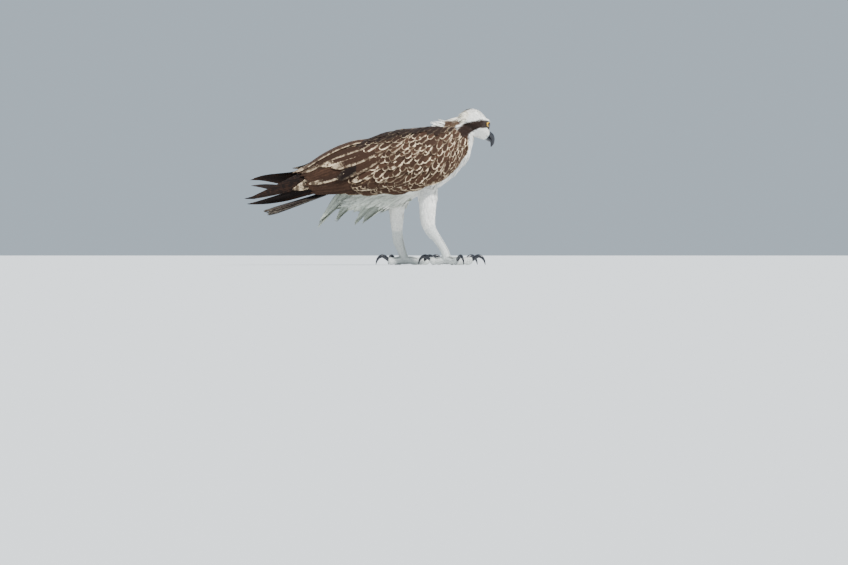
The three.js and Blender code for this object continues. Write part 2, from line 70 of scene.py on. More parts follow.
# Stations: x, height of the centre, half height, half width
TRUNK = [
    (-156, 176, 13, 12), (-140, 184, 28, 23), (-115, 196, 48, 35), (-80, 204, 66, 47), (-40, 213, 75, 57),
    (0, 221, 79, 63), (40, 228, 77, 65), (80, 238, 71, 61), (110, 249, 61, 51), (132, 257, 47, 38),
    (146, 262, 29, 22),
]
FOLD = [
    (-340, 143, 15, 11), (-300, 152, 23, 17), (-255, 165, 32, 24), (-212, 178, 41, 33), (-172, 191, 56, 44),
    (-132, 198, 70, 54), (-88, 203, 80, 64), (-44, 209, 87, 72), (0, 213, 91, 77), (40, 219, 89, 78),
    (80, 228, 84, 74), (105, 236, 76, 66), (128, 247, 60, 52), (142, 256, 42, 38),
]
# The wing's flesh: x, angles of its upper and lower edges from the back's middle line, height over the fold
SHELL = [
    (-205, 44, 112, -9), (-170, 34, 122, -8), (-130, 30, 124, -7), (-90, 27, 123, -5.5), (-50, 25, 126, -3),
    (0, 24, 127, 0.5), (50, 25, 126, 4), (95, 28, 121, 4.5), (122, 36, 111, 2), (140, 58, 92, -3),
]
# How far below straight back the wing's feathers point, in degrees, at x, and their height over the fold
LIE = [(-340, 0), (-150, 6), (-80, 20), (-20, 33), (40, 46), (90, 60), (120, 71), (142, 78)]
COVER = [(-205, -7), (-130, -4.5), (-46, 0), (0, 3), (56, 6), (100, 5), (125, 2.5), (142, -2.5)]
# Tubes: x, y, z, half width, half height
NECK = [
    (84, 0, 246, 52, 60), (106, 1, 266, 45, 56), (126, 4, 287, 36, 44), (143, 8, 303, 29, 31),
    (158, 11, 312, 23, 22),
]
DOWN = [
    (30, 0, 172, 34, 26), (-20, 0, 157, 38, 33), (-70, 0, 150, 34, 30), (-112, 0, 141, 25, 20),
    (-146, 0, 138, 10, 8),
]
# Rows of long plumes under belly and vent: x, height, reach back, fall, spread across
VENT = [
    (12, 142, 56, 28, 36), (-38, 134, 44, 44, 42), (-58, 136, 42, 49, 40), (-98, 144, 44, 51, 36),
    (-128, 146, 52, 63, 28),
]
# A tube under the rump: x, y, z, half width, half height
RUMP = [(-112, 0, 178, 21, 14), (-140, 0, 168, 21, 9), (-168, 0, 158, 19, 5.5), (-186, 0, 151.5, 14, 3)]
# The head's stations: forward, height of the centre, half height, half width
HEAD = [
    (-40, -3, 9, 9), (-34, -2, 18, 17), (-20, 1, 26, 24), (-4, 2, 28, 26), (12, 1, 26.5, 24),
    (24, -1, 22, 19.5), (34, -4, 17, 14.5), (42, -6.5, 12.5, 10.5), (45, -7, 11.5, 9.6),
]
# Thin tubes on the head: forward, out, up, half width, half height
BROW = [
    (35, 9.6, 7.6, 1.4, 1.4), (27.5, 15.4, 13.6, 2.8, 2.2), (17, 19.8, 16.4, 3.4, 2.6),
    (6, 21.2, 15.4, 2.2, 2),
]
MOUTH = [
    (29.5, 13.2, -11.2, 0.15, 0.15), (35, 11.7, -12, 0.45, 0.45), (41, 9.4, -12.7, 0.55, 0.55),
    (46, 8.0, -12.9, 0.5, 0.5),
]
NOSTRIL = [(39.6, 9.9, -2.8, 0.5, 0.2), (41.4, 9.4, -2, 0.5, 0.9), (43.2, 8.7, -1.2, 0.5, 0.2)]
# Mandibles: forward, height, half width, half height
UPPER_BILL = [
    (44, -2.5, 9.4, 7.4), (52, -2.6, 8.2, 7.4), (58, -5.2, 6.8, 7), (63, -10.2, 5.2, 5.6),
    (65.2, -16.5, 3.4, 3.8), (65.2, -23.5, 0.9, 1.2),
]
LOWER_BILL = [(42, -13.6, 7.6, 3.2), (51, -13.4, 6.6, 3), (55.5, -13.4, 5.2, 2.6), (58.6, -13.2, 2.6, 1.3)]
# Claw: ahead of the toe's end, height, half thickness
CLAW = [(-2, 10.6, 3.8), (6, 17, 4.4), (13, 19.8, 4), (20.5, 16.8, 3.3), (26, 8.8, 2), (28, 0.6, 0.6)]
# A claw's width as a share of its depth
CLAW_FLATNESS = 0.85
# Toes: their length, each one's share of it, and stations: ahead, height, half width, half height
TOE_LONG = 50
TOE_SHARES = (1.14, 1, 1, 0.78)
TOE = [
    (0, 10.5, 8, 9), (14, 10.5, 7.2, 8.2), (23, 8.4, 6.6, 8.4), (32, 8.2, 5.6, 6.6),
    (42, 8.8, 5.6, 8.8), (50, 10.5, 4.2, 5.6),
]
LEGS = {
    "r": {
        "side": RIGHT, "pad": 101, "toes": (-8, 30, -62, 158),
        "thigh": [
            (60, 31, 200, 20, 26), (59, 33, 165, 20, 23), (59, 35, 140, 18, 20), (59, 36.5, 114, 15.5, 18),
            (60, 37, 92, 13, 15.8), (65, 37.4, 78, 10.4, 13.6), (71, 37.8, 69, 8.4, 11),
        ],
        "shank": [
            (61, 37, 92, 10.6, 13.6), (65, 37.5, 78, 9.8, 13), (79, 38, 58, 7.8, 9.8), (91, 38, 40, 7, 8.8),
            (98, 38, 25, 7.6, 9.2), (101, 38, 12, 9, 10),
        ],
    },
    "l": {
        "side": LEFT, "pad": 8, "toes": (6, -28, 118, -160),
        "thigh": [
            (6, 31, 190, 20, 26), (-2, 33, 150, 19.5, 21), (-8, 35, 126, 17, 18),
            (-9, 36.5, 104, 14.5, 15.6), (-8.5, 37, 84, 12, 13.6), (-8, 37.4, 72, 10, 12.2),
            (-7, 37.8, 62, 7.6, 11),
        ],
        "shank": [
            (-8.5, 37, 84, 9.8, 11.8), (-8, 37.5, 72, 9.2, 11.6), (-6, 38, 55, 8, 12),
            (-1, 38, 38, 7.2, 10), (4, 38, 24, 7.6, 9.4), (8, 38, 12, 9, 10),
        ],
    },
}

rng = np.random.default_rng(11)


# Numbers

def mix(a, b, t):
    return a + (b - a) * t


def ease(a, b, x):
    """0 at a and 1 at b, smooth between them."""
    t = np.clip((np.asarray(x, float) - a) / (b - a), 0, 1)
    return t * t * (3 - 2 * t)


def along(rows, x):
    """The rows' columns at x, by a cubic that doesn't overshoot."""
    rows = np.asarray(rows, float)
    xs, values = rows[:, 0], rows[:, 1:]
    x = np.clip(np.asarray(x, float), xs.min(), xs.max())
    i = np.clip(np.searchsorted(xs, x, side="right") - 1, 0, len(xs) - 2)
    step = np.diff(xs)
    rise = np.diff(values, axis=0) / step[:, None]
    before, after = rise[:-1], rise[1:]
    both = before * after > 0
    slope = np.zeros_like(values)
    slope[1:-1][both] = (2 * before * after)[both] / (before + after)[both]
    t = ((x - xs[i]) / step[i])[..., None]
    width = step[i][..., None]
    h1 = t * t * (3 - 2 * t)
    h2 = t * (1 - t) ** 2 * width
    h3 = t * t * (t - 1) * width
    out = values[i] * (1 - h1) + values[i + 1] * h1 + slope[i] * h2 + slope[i + 1] * h3
    return [out[..., k] for k in range(out.shape[-1])]


def between(rows, x):
    """The rows' columns at x, straight from row to row."""
    rows = np.asarray(rows, float)
    return [np.interp(x, rows[:, 0], column) for column in rows[:, 1:].T]


def unit(v):
    return v / np.maximum(np.linalg.norm(v, axis=-1, keepdims=True), 1e-9)


def stack(*columns):
    return np.stack(np.broadcast_arrays(*columns), axis=-1)


def numbered(rows):
    """The rows with their place in the list ahead of them."""
    return [(i, *row) for i, row in enumerate(rows)]


STEP = 0.02


def heading(table, s, axes):
    """Direction, at s, of the line through the table's first columns."""
    return unit(stack(*along(table, s + STEP)[:axes]) - stack(*along(table, s - STEP)[:axes]))


# The head's own axes

FORWARD = np.array([
    math.cos(HEAD_YAW) * math.cos(HEAD_PITCH),
    math.sin(HEAD_YAW) * math.cos(HEAD_PITCH),
    -math.sin(HEAD_PITCH),
])
LEFTWARD = np.array([-math.sin(HEAD_YAW), math.cos(HEAD_YAW), 0])
UPWARD = np.cross(FORWARD, LEFTWARD)


def on_head(f, l, u):
    """A place in the solids' axes from forward, leftward and upward of the head's centre."""
    f, l, u = np.broadcast_arrays(f, l, u)
    return HEAD_CENTRE + f[..., None] * FORWARD + l[..., None] * LEFTWARD + u[..., None] * UPWARD


def in_head(points):
    """Forward, leftward and upward of the head's centre, of places in the solids' axes."""
    away = points - HEAD_CENTRE
    return away @ FORWARD, away @ LEFTWARD, away @ UPWARD


def eye_centre(side):
    return on_head(EYE_AT[0], side * EYE_AT[1], EYE_AT[2])


LOW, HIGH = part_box("eye_r")
SHIFT = np.array([(LOW[0] + HIGH[0]) / 2 / MM - eye_centre(RIGHT)[0], 0, 0])


def to_frame(points):
    """Metres in the frame, of places in the solids' axes in millimetres."""
    return (np.asarray(points, float) + SHIFT) * MM


# Surfaces, each a function of t along it, an angle round it and r, its share of the full radius

def trunk_at(grow):
    def place(t, angle, r):
        x = mix(TRUNK[-1][0] + grow, TRUNK[0][0] - grow, t)
        z, high, wide = along(TRUNK, x)
        return stack(x, r * (wide + grow) * np.cos(angle), z + r * (high + grow) * np.sin(angle))
    return place


def tube_at(rows, grow=0.0):
    table = numbered(rows)

    def place(t, angle, r):
        s = t * (len(rows) - 1)
        x, y, z, wide, high = along(table, s)
        tangent = heading(table, s, 3)
        across = unit(np.array([0, 1, 0]) - tangent * tangent[..., 1:2])
        up = np.cross(tangent, across)
        flat = (r * (wide + grow) * np.cos(angle))[..., None]
        tall = (r * (high + grow) * np.sin(angle))[..., None]
        return stack(x, y, z) + across * flat - up * tall
    return place


def skull_at(grow):
    def place(t, angle, r):
        f = mix(HEAD[-1][0], HEAD[0][0], t)
        u, high, wide = along(HEAD, f)
        return on_head(f, r * (wide + grow) * np.cos(angle), u + r * (high + grow) * np.sin(angle))
    return place


def bill_at(rows):
    table = numbered(rows)

    def place(t, angle, r):
        s = t * (len(rows) - 1)
        f, u, wide, high = along(table, s)
        tangent = heading(table, s, 2)
        lift = r * high * np.sin(angle)
        return on_head(f - tangent[..., 1] * lift, r * wide * np.cos(angle), u + tangent[..., 0] * lift)
    return place


def head_tube(rows, side):
    return tube_at([(*on_head(f, side * l, u), wide, high) for f, l, u, wide, high in rows])


def mirrored(rows, side):
    return [(x, y * side, z, w, h) for x, y, z, w, h in rows]


def on_ground(leg, yaw, ahead, across, up):
    """A place ahead, across and up of the middle of the foot, no lower than the floor."""
    c, s = math.cos(math.radians(yaw)), math.sin(math.radians(yaw))
    x = leg["pad"] + c * ahead - s * across
    y = leg["side"] * FOOT_Y + s * ahead + c * across
    return stack(x, y, np.maximum(up, 0))


def toe_at(leg, yaw, share):
    table = numbered(TOE)

    def place(t, angle, r):
        d, z, wide, high = along(table, t * (len(TOE) - 1))
        return on_ground(leg, yaw, d * share, r * wide * np.cos(angle), z + r * high * np.sin(angle))
    return place


def claw_at(leg, yaw, share):
    table = numbered(CLAW)

    def place(t, angle, r):
        s = t * (len(CLAW) - 1)
        d, z, fat = along(table, s)
        tangent = heading(table, s, 2)
        lift = r * fat * np.sin(angle)
        out = TOE_LONG * share + d - tangent[..., 1] * lift
        flat = r * fat * CLAW_FLATNESS * np.cos(angle)
        return on_ground(leg, yaw, out, flat, z + tangent[..., 0] * lift)
    return place


def fold_at(side, x, angle, off):
    """A place on the folded wing: x, degrees down from the back's middle line, and height over it."""
    z, high, wide = along(FOLD, x)
    a = np.radians(angle)
    lift = LEFT_WING_LIFT * ease(*LEFT_WING_RISE, x) if side == LEFT else 0
    return stack(x, side * (wide + off) * np.sin(a), z + (high + off) * np.cos(a) + lift)


# Markings, and painted shade on the white underside: the plumage's colour at a place, on the skin and on the
# feathers over it alike

def rgb(code):
    """Linear colour of an sRGB hex value."""
    parts = [int(code[i:i + 2], 16) / 255 for i in (0, 2, 4)]
    return np.array([c / 12.92 if c <= 0.04045 else ((c + 0.055) / 1.055) ** 2.4 for c in parts])


# shaded: painted shade, the grey-green that the white underside takes in the wing's shadow
PLUMAGE = {
    "white": rgb("f3f1ea"), "cream": rgb("e8dcc0"), "stripe": rgb("2d201a"), "umber": rgb("402c20"),
    "dusk": rgb("2b1c14"), "buff": rgb("efd6b2"), "tan": rgb("936c48"), "sooty": rgb("150e0c"),
    "grey": rgb("a8b0b0"), "shaded": rgb("c0c5b8"), "tail_edge": rgb("2e2520"), "tail_streak": rgb("cfc3ac"),
    "scute": rgb("e0e2dd"),
}
# Each marking's edges, and those of the painted shade (underside): along which measure, where it is gone and
# where it is full
MARKS = {
    "underside": [("x", 60, -10), ("z", 182, 160)],
    "above_thighs": [("z", 134, 143)],
    "behind_thighs": [("x", -24, -40)],
    "mantle": [("over", 0.12, 0.3), ("x", 74, 56), ("f", -20, -40)],
    "rump": [("x", -98, -110), ("above_rump", -5, 1)],
    "nape": [("x", 112, 124), ("f", -26, -34), ("z", 306, 314)],
    "hind_neck": [("x", 98, 101), ("x", 134, 128), ("z", 296, 300), ("z", 323, 318)],
    "stripe": [("aside", 5, 9), ("f", -66, -58), ("f", 38, 34)],
    "crown": [("aside", 5, 1.5), ("u", 18, 23), ("f", 32, 22), ("f", 2, 12)],
    "hind_crown": [("off_middle", 10, 6), ("f", -38, -32), ("f", -14, -22), ("u", 6, 12)],
    "cere": [("f", 38, 40.5)],
    "shoulder": [("x", 80, 100), ("z", 306, 300), ("z", 184, 194)],
}
# The eye stripe: forward, height of its middle, half its height
STRIPE = [
    (-62, -52, 8), (-45, -46, 14), (-30, -36, 19), (-16, -21, 17), (-4, -8, 14), (6, 1.5, 10.5), (22, 8.5, 8),
    (34, 5, 4),
]
STRIPE_EDGE = 1.5
HIND_CROWN_SIDE = 3
# The shoulder's brown: height, and how far forward it reaches or how far off the middle it starts
SHOULDER_FRONT = [(150, 98), (165, 106), (270, 151), (285, 153)]
BIB = [(190, 27), (250, 15), (285, 8)]
SHOULDER_EDGE, BIB_EDGE = 3, 5


def blended(colours, other, share):
    return colours * (1 - share[:, None]) + other * share[:, None]


def rump_height(x):
    return np.interp(x, [row[0] for row in RUMP[::-1]], [row[2] for row in RUMP[::-1]])


def eye_gap(points):
    """How far each place is from the nearer eye's rim."""
    gaps = [np.linalg.norm(points - eye_centre(side), axis=1) - EYE_R for side in (RIGHT, LEFT)]
    return np.minimum(*gaps)


def measures(points):
    """Each place's measures along the head's axes and the body's, and from the parts near it."""
    f, l, u = in_head(points)
    x, y, z = points.T
    ring, tall, _ = along(TRUNK, x)
    return {
        "f": f, "u": u, "aside": np.abs(l), "off_middle": np.abs(l - HIND_CROWN_SIDE),
        "x": x, "y": np.abs(y), "z": z, "over": (z - ring) / np.maximum(tall, 1),
        "above_rump": z - rump_height(x), "to_eye": eye_gap(points),
    }


def marked(name, m):
    """How full that marking is at places with the measures m, from 0 to 1."""
    full = 1.0
    for key, gone, there in MARKS[name]:
        full = full * ease(gone, there, m[key])
    return full


def on_shoulder(m):
    """1 on the brown side of the neck's base, 0 on the white breast and hind neck."""
    front = between(SHOULDER_FRONT, m["z"])[0]
    bib = between(BIB, m["z"])[0]
    ahead = ease(front + SHOULDER_EDGE, front - SHOULDER_EDGE, m["x"])
    return marked("shoulder", m) * ahead * ease(bib, bib + BIB_EDGE, m["y"])


def on_stripe(m):
    middle, half = between(STRIPE, m["f"])
    band = ease(half + STRIPE_EDGE, half - STRIPE_EDGE, np.abs(m["u"] - middle))
    return band * marked("stripe", m)


def markings_and_shade(points):
    """Colour of the plumage at places in the solids' axes, with painted shade on the white underside."""
    m = measures(points)
    clear_of_thighs = np.maximum(marked("above_thighs", m), marked("behind_thighs", m))
    layers = (
        # Painted shade: the white belly and vent tinted grey-green as in the wing's shadow, clear of the
        # thighs
        ("shaded", 0.85 * marked("underside", m) * clear_of_thighs),
        ("dusk", marked("mantle", m)),
        ("dusk", marked("rump", m)),
        ("cream", 0.6 * marked("nape", m)),
        ("umber", np.maximum(marked("hind_neck", m), on_shoulder(m))),
        ("stripe", on_stripe(m)),
        ("stripe", np.maximum(0.6 * marked("crown", m), 0.7 * marked("hind_crown", m))),
        ("grey", marked("cere", m)),
    )
    colours = np.tile(PLUMAGE["white"], (len(points), 1))
    for name, share in layers:
        colours = blended(colours, PLUMAGE[name], share)
    return colours


# Meshes

def in_scene(mesh, name, material, smooth=True):
    obj = bpy.data.objects.new(name, mesh)
    bpy.context.scene.collection.objects.link(obj)
    mesh.materials.append(material)
    mesh.polygons.foreach_set("use_smooth", np.full(len(mesh.polygons), smooth))
    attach(obj, "root")
    return obj


def loft(bm, place, around=32, steps=24, blunt=0.02):
    """A closed tube: a sphere whose points are moved by place, full width soon after either end."""
    verts = bmesh.ops.create_uvsphere(bm, u_segments=around, v_segments=steps, radius=1)["verts"]
    co = np.array([v.co for v in verts])
    t = np.arccos(np.clip(co[:, 2], -1, 1)) / np.pi
    angle = np.arctan2(co[:, 1], co[:, 0])
    r = np.sqrt(np.clip(t * (1 - t) / blunt, 0, 1))
    for v, p in zip(verts, to_frame(place(t, angle, r))):
        v.co = p


def lofted(name, places, material, around=32, steps=24, blunt=0.02):
    bm = bmesh.new()
    for place in places:
        loft(bm, place, around, steps, blunt)
    bmesh.ops.recalc_face_normals(bm, faces=bm.faces)
    mesh = bpy.data.meshes.new(name)
    bm.to_mesh(mesh)
    bm.free()
    return in_scene(mesh, name, material)


def fused(obj, voxel, rounds):
    """obj's overlapping tubes become one smooth surface."""
    remesh = obj.modifiers.new("one_surface", "REMESH")
    remesh.mode = "VOXEL"
    remesh.voxel_size = voxel * MM
    smooth = obj.modifiers.new("soft_joins", "SMOOTH")
    smooth.factor = 0.5
    smooth.iterations = rounds
    graph = bpy.context.evaluated_depsgraph_get()
    mesh = bpy.data.meshes.new_from_object(obj.evaluated_get(graph), depsgraph=graph)
    obj.modifiers.clear()
    materials = list(obj.data.materials)
    old = obj.data
    obj.data = mesh
    bpy.data.meshes.remove(old)
    if not mesh.materials:
        mesh.materials.append(materials[0])
    mesh.polygons.foreach_set("use_smooth", np.ones(len(mesh.polygons), bool))
    return obj


def points_of(mesh):
    co = np.empty(len(mesh.vertices) * 3)
    mesh.vertices.foreach_get("co", co)
    return co.reshape(-1, 3) / MM - SHIFT


def tint(mesh, name, colours):
    """A colour attribute on the mesh's points."""
    four = np.ones((len(colours), 4), np.float32)
    four[:, :colours.shape[1]] = colours
    layer = mesh.attributes.new(name, "FLOAT_COLOR", "POINT")
    layer.data.foreach_set("color", four.ravel())


def lens_faces(rows, cols):
    """Faces of one vane: an upper and a lower sheet that share their rim."""
    top = np.arange(rows * cols).reshape(rows, cols)
    under = top.copy()
    inner = (rows - 2) * (cols - 2)
    under[1:-1, 1:-1] = rows * cols + np.arange(inner).reshape(rows - 2, cols - 2)
    quads = []
    for j in range(rows - 1):
        for i in range(cols - 1):
            quads.append((top[j, i], top[j, i + 1], top[j + 1, i + 1], top[j + 1, i]))
            quads.append((under[j, i], under[j + 1, i], under[j + 1, i + 1], under[j, i + 1]))
    return np.array(quads), rows * cols + inner


def crisp_rims(mesh, rows, cols, per):
    """The rim of each vane is a sharp edge, so its flat faces aren't shaded round."""
    rim = np.zeros((rows, cols), bool)
    rim[[0, -1]] = True
    rim[:, [0, -1]] = True
    on_rim = np.zeros(per, bool)
    on_rim[:rows * cols] = rim.ravel()
    ends = np.empty(len(mesh.edges) * 2, int)
    mesh.edges.foreach_get("vertices", ends)
    sharp = on_rim[ends.reshape(-1, 2) % per].all(axis=1)
    mesh.attributes.new("sharp_edge", "BOOLEAN", "EDGE").data.foreach_set("value", sharp)


def vanes(name, upper, normals, thick, centre, edge, root_uv, material):
    """Joined vanes: upper (n, rows, cols, 3) are their upper sheets' points, normals the same shape, centre
    and edge (n, 3) their colours, and root_uv (n, 2) their roots' places on an unwrap of the skin."""
    count, rows, cols = upper.shape[:3]
    quads, per = lens_faces(rows, cols)
    lower = (upper - normals * thick)[:, 1:-1, 1:-1]
    points = np.concatenate([upper.reshape(count, -1, 3), lower.reshape(count, -1, 3)], axis=1)
    across, down = np.meshgrid(np.linspace(0, 1, cols), np.linspace(0, 1, rows))
    grid = np.stack([across, down], axis=-1)
    flat = np.concatenate([grid.reshape(-1, 2), grid[1:-1, 1:-1].reshape(-1, 2)])
    faces = (quads[None] + (np.arange(count) * per)[:, None, None]).reshape(-1, 4)
    mesh = bpy.data.meshes.new(name)
    mesh.vertices.add(count * per)
    mesh.vertices.foreach_set("co", to_frame(points.reshape(-1, 3)).ravel())
    mesh.loops.add(faces.size)
    mesh.loops.foreach_set("vertex_index", faces.ravel())
    mesh.polygons.add(len(faces))
    mesh.polygons.foreach_set("loop_start", np.arange(0, faces.size, 4))
    mesh.update(calc_edges=True)
    crisp_rims(mesh, rows, cols, per)
    own = flat[faces.ravel() % per]
    mesh.uv_layers.new(name="vane").data.foreach_set("uv", own.ravel())
    roots = np.repeat(root_uv, len(quads) * 4, axis=0)
    bake = roots * 0.99 + own * 0.003
    mesh.uv_layers.new(name="OFBake").data.foreach_set("uv", bake.ravel())
    tint(mesh, "centre", np.repeat(centre, per, axis=0))
    tint(mesh, "edge", np.repeat(edge, per, axis=0))
    mesh.validate()
    return in_scene(mesh, name, material)


ROUND_TIP = [(0, 0.35), (0.2, 0.78), (0.5, 1), (0.8, 0.9), (0.93, 0.62), (1, 0.15)]
SOFT_TIP = [(0, 0.5), (0.25, 0.95), (0.5, 1), (0.75, 0.72), (0.9, 0.4), (1, 0.08)]


def small_vanes(name, roots, lie, normals, long, wide, lift, curl, centre, edge, root_uv, material,
                rows=6, cols=3, widths=ROUND_TIP, bend=0.05):
    """Small feathers from roots along lie: long and wide are their length and half width, lift how far
    the tip stands off the surface, and curl how far it then bends back in."""
    v = np.linspace(0, 1, rows)
    u = np.linspace(-1, 1, cols)
    side = unit(np.cross(normals, lie))
    lie = unit(np.cross(side, normals))
    profile = along(widths, v)[0]
    down = roots[:, None, None] + lie[:, None, None] * (long[:, None] * v)[:, :, None, None]
    aside = (bend * long * rng.standard_normal(len(roots)))[:, None, None] * (v ** 2)[:, None]
    flat = side[:, None, None] * (wide[:, None, None] * profile[:, None] * u + aside)[..., None]
    rise = (lift[:, None] * v - curl[:, None] * v ** 2)[:, :, None]
    rise = rise - 0.28 * wide[:, None, None] * profile[:, None] * u ** 2
    upper = down + flat + normals[:, None, None] * rise[..., None]
    tall = np.broadcast_to(normals[:, None, None], upper.shape)
    thick = np.minimum(0.14 * wide, 0.4)[:, None, None, None]
    return vanes(name, upper, tall, thick, centre, edge, root_uv, material)


AROUND = [(i, j, k) for i in (-1, 0, 1) for j in (-1, 0, 1) for k in (-1, 0, 1)]


def thinned(points, spacing):
    """Indices of places that stay at least spacing apart."""
    taken = {}
    kept = []
    cells = np.floor(points / spacing).astype(int).tolist()
    places = points.tolist()
    for n in rng.permutation(len(points)).tolist():
        cx, cy, cz = cells[n]
        x, y, z = places[n]
        near = (p for i, j, k in AROUND for p in taken.get((cx + i, cy + j, cz + k), ()))
        if all((x - a) ** 2 + (y - b) ** 2 + (z - c) ** 2 > spacing * spacing for a, b, c in near):
            taken.setdefault((cx, cy, cz), []).append((x, y, z))
            kept.append(n)
    return np.array(kept)


def faces_of(mesh):
    """Centres and normals of the mesh's faces in the solids' axes."""
    count = len(mesh.polygons)
    centre, normal = np.empty(count * 3), np.empty(count * 3)
    mesh.polygons.foreach_get("center", centre)
    mesh.polygons.foreach_get("normal", normal)
    return centre.reshape(-1, 3) / MM - SHIFT, normal.reshape(-1, 3)


# Nodes

def material_named(name):
    material = bpy.data.materials.new(name)
    material.use_nodes = True
    return material


def node(material, kind, settings=None, links=None):
    """A node of that kind with its settings, and links from other nodes' sockets to its inputs."""
    made = material.node_tree.nodes.new(kind)
    for key, value in (settings or {}).items():
        if isinstance(key, int) or key in made.inputs:
            made.inputs[key].default_value = value
        else:
            setattr(made, key, value)
    for key, socket in (links or {}).items():
        material.node_tree.links.new(socket, made.inputs[key])
    return made


def shader(material):
    return material.node_tree.nodes["Principled BSDF"]


def per_metre(size):
    """A pattern's scale, from the size of its grain in millimetres."""
    return 1 / (size * MM)


def connect(material, socket, target, key):
    material.node_tree.links.new(socket, target.inputs[key])


# Radians of the barbs' waves along a vane: 33 barbs, far fewer than real ones, so that they show
BARB_WAVES = 210.0


def feather_finish():
    """Feather keratin: matte, with a soft sheen along the barbs. Pale fringe, darker shaft, fine barbs."""
    m = material_named("feather_vane")
    uv = node(m, "ShaderNodeUVMap", {"uv_map": "vane"})
    split = node(m, "ShaderNodeSeparateXYZ", links={0: uv.outputs[0]})
    centred = node(m, "ShaderNodeMath", {"operation": "SUBTRACT", 1: 0.46}, {0: split.outputs[0]})
    out = node(m, "ShaderNodeMath", {"operation": "ABSOLUTE"}, {0: centred.outputs[0]})
    place = node(m, "ShaderNodeTexCoord")
    fine = node(m, "ShaderNodeTexNoise", {"Scale": per_metre(3.125), "Detail": 3.0},
                {"Vector": place.outputs["Object"]})
    broad = node(m, "ShaderNodeTexNoise", {"Scale": per_metre(10.526), "Detail": 2.0},
                 {"Vector": place.outputs["Object"]})
    ragged = node(m, "ShaderNodeMath", {"operation": "MULTIPLY_ADD", 1: 0.3, 2: -0.15},
                  {0: fine.outputs[0]})
    out_ragged = node(m, "ShaderNodeMath", {"operation": "ADD"}, {0: out.outputs[0], 1: ragged.outputs[0]})
    rim = node(m, "ShaderNodeMapRange", {"interpolation_type": "SMOOTHSTEP", 1: 0.3, 2: 0.44},
               {0: out_ragged.outputs[0]})
    along_ragged = node(m, "ShaderNodeMath", {"operation": "ADD"},
                        {0: split.outputs[1], 1: ragged.outputs[0]})
    tip = node(m, "ShaderNodeMapRange", {"interpolation_type": "SMOOTHSTEP", 1: 0.82, 2: 0.95},
               {0: along_ragged.outputs[0]})
    both = node(m, "ShaderNodeMath", {"operation": "MAXIMUM"}, {0: rim.outputs[0], 1: tip.outputs[0]})
    worn = node(m, "ShaderNodeMapRange", {1: 0.4, 2: 0.56, 3: 0.12, 4: 1.0}, {0: broad.outputs[0]})
    fringe = node(m, "ShaderNodeMath", {"operation": "MULTIPLY"}, {0: both.outputs[0], 1: worn.outputs[0]})
    centre = node(m, "ShaderNodeAttribute", {"attribute_name": "centre"})
    edge = node(m, "ShaderNodeAttribute", {"attribute_name": "edge"})
    pale = node(m, "ShaderNodeMix", {"data_type": "RGBA"},
                {0: fringe.outputs[0], 6: centre.outputs[0], 7: edge.outputs[0]})
    shaft = node(m, "ShaderNodeMapRange", {1: 0.0, 2: 0.03, 3: 0.35, 4: 0.0}, {0: out.outputs[0]})
    dark = node(
        m, "ShaderNodeMix", {"data_type": "RGBA", "blend_type": "MULTIPLY", 7: (0.5, 0.46, 0.42, 1)},
        {0: shaft.outputs[0], 6: pale.outputs[2]},
    )
    slanted = node(m, "ShaderNodeMath", {"operation": "MULTIPLY_ADD", 1: -0.7},
                   {0: out.outputs[0], 2: split.outputs[1]})
    many = node(m, "ShaderNodeMath", {"operation": "MULTIPLY", 1: BARB_WAVES}, {0: slanted.outputs[0]})
    barbs = node(m, "ShaderNodeMath", {"operation": "SINE"}, {0: many.outputs[0]})
    mottle = node(m, "ShaderNodeMapRange", {1: 0.3, 2: 0.7, 3: 0.84, 4: 1.12}, {0: fine.outputs[0]})
    toned = node(m, "ShaderNodeMix", {"data_type": "RGBA", "blend_type": "MULTIPLY", 0: 1.0},
                 {6: dark.outputs[2], 7: mottle.outputs[0]})
    bump = node(m, "ShaderNodeBump", {"Strength": 0.25, "Distance": 0.0002}, {"Height": barbs.outputs[0]})
    p = shader(m)
    connect(m, toned.outputs[2], p, "Base Color")
    connect(m, bump.outputs[0], p, "Normal")
    p.inputs["Roughness"].default_value = 0.72
    p.inputs["Sheen Weight"].default_value = 0.03
    p.inputs["Specular IOR Level"].default_value = 0.12
    return m


def skin_finish():
    """Downy skin under the coat: matte, in the colours of the feathers over it, their painted shade under the
    belly included.
    """
    m = material_named("downy_skin")
    colour = node(m, "ShaderNodeAttribute", {"attribute_name": "marking"})
    place = node(m, "ShaderNodeTexCoord")
    noise = node(m, "ShaderNodeTexNoise", {"Scale": per_metre(1.1111), "Detail": 4.0},
                 {"Vector": place.outputs["Object"]})
    bump = node(m, "ShaderNodeBump", {"Strength": 0.4, "Distance": 0.0005}, {"Height": noise.outputs[0]})
    p = shader(m)
    connect(m, colour.outputs[0], p, "Base Color")
    connect(m, bump.outputs[0], p, "Normal")
    p.inputs["Roughness"].default_value = 0.8
    return m


def horn_finish():
    """Keratin of bill and claws: near black, polished by wear, with a fine uneven grain."""
    m = material_named("dark_keratin")
    place = node(m, "ShaderNodeTexCoord")
    noise = node(m, "ShaderNodeTexNoise", {"Scale": per_metre(4.5455), "Detail": 5.0},
                 {"Vector": place.outputs["Object"]})
    tone = node(m, "ShaderNodeMix", {"data_type": "RGBA", 6: (*rgb("0d0e14"), 1), 7: (*rgb("2b2c34"), 1)},
                {0: noise.outputs[0]})
    rough = node(m, "ShaderNodeMapRange", {3: 0.18, 4: 0.42}, {0: noise.outputs[0]})
    bump = node(m, "ShaderNodeBump", {"Strength": 0.12, "Distance": 0.0004}, {"Height": noise.outputs[0]})
    p = shader(m)
    connect(m, tone.outputs[2], p, "Base Color")
    connect(m, rough.outputs[0], p, "Roughness")
    connect(m, bump.outputs[0], p, "Normal")
    return m


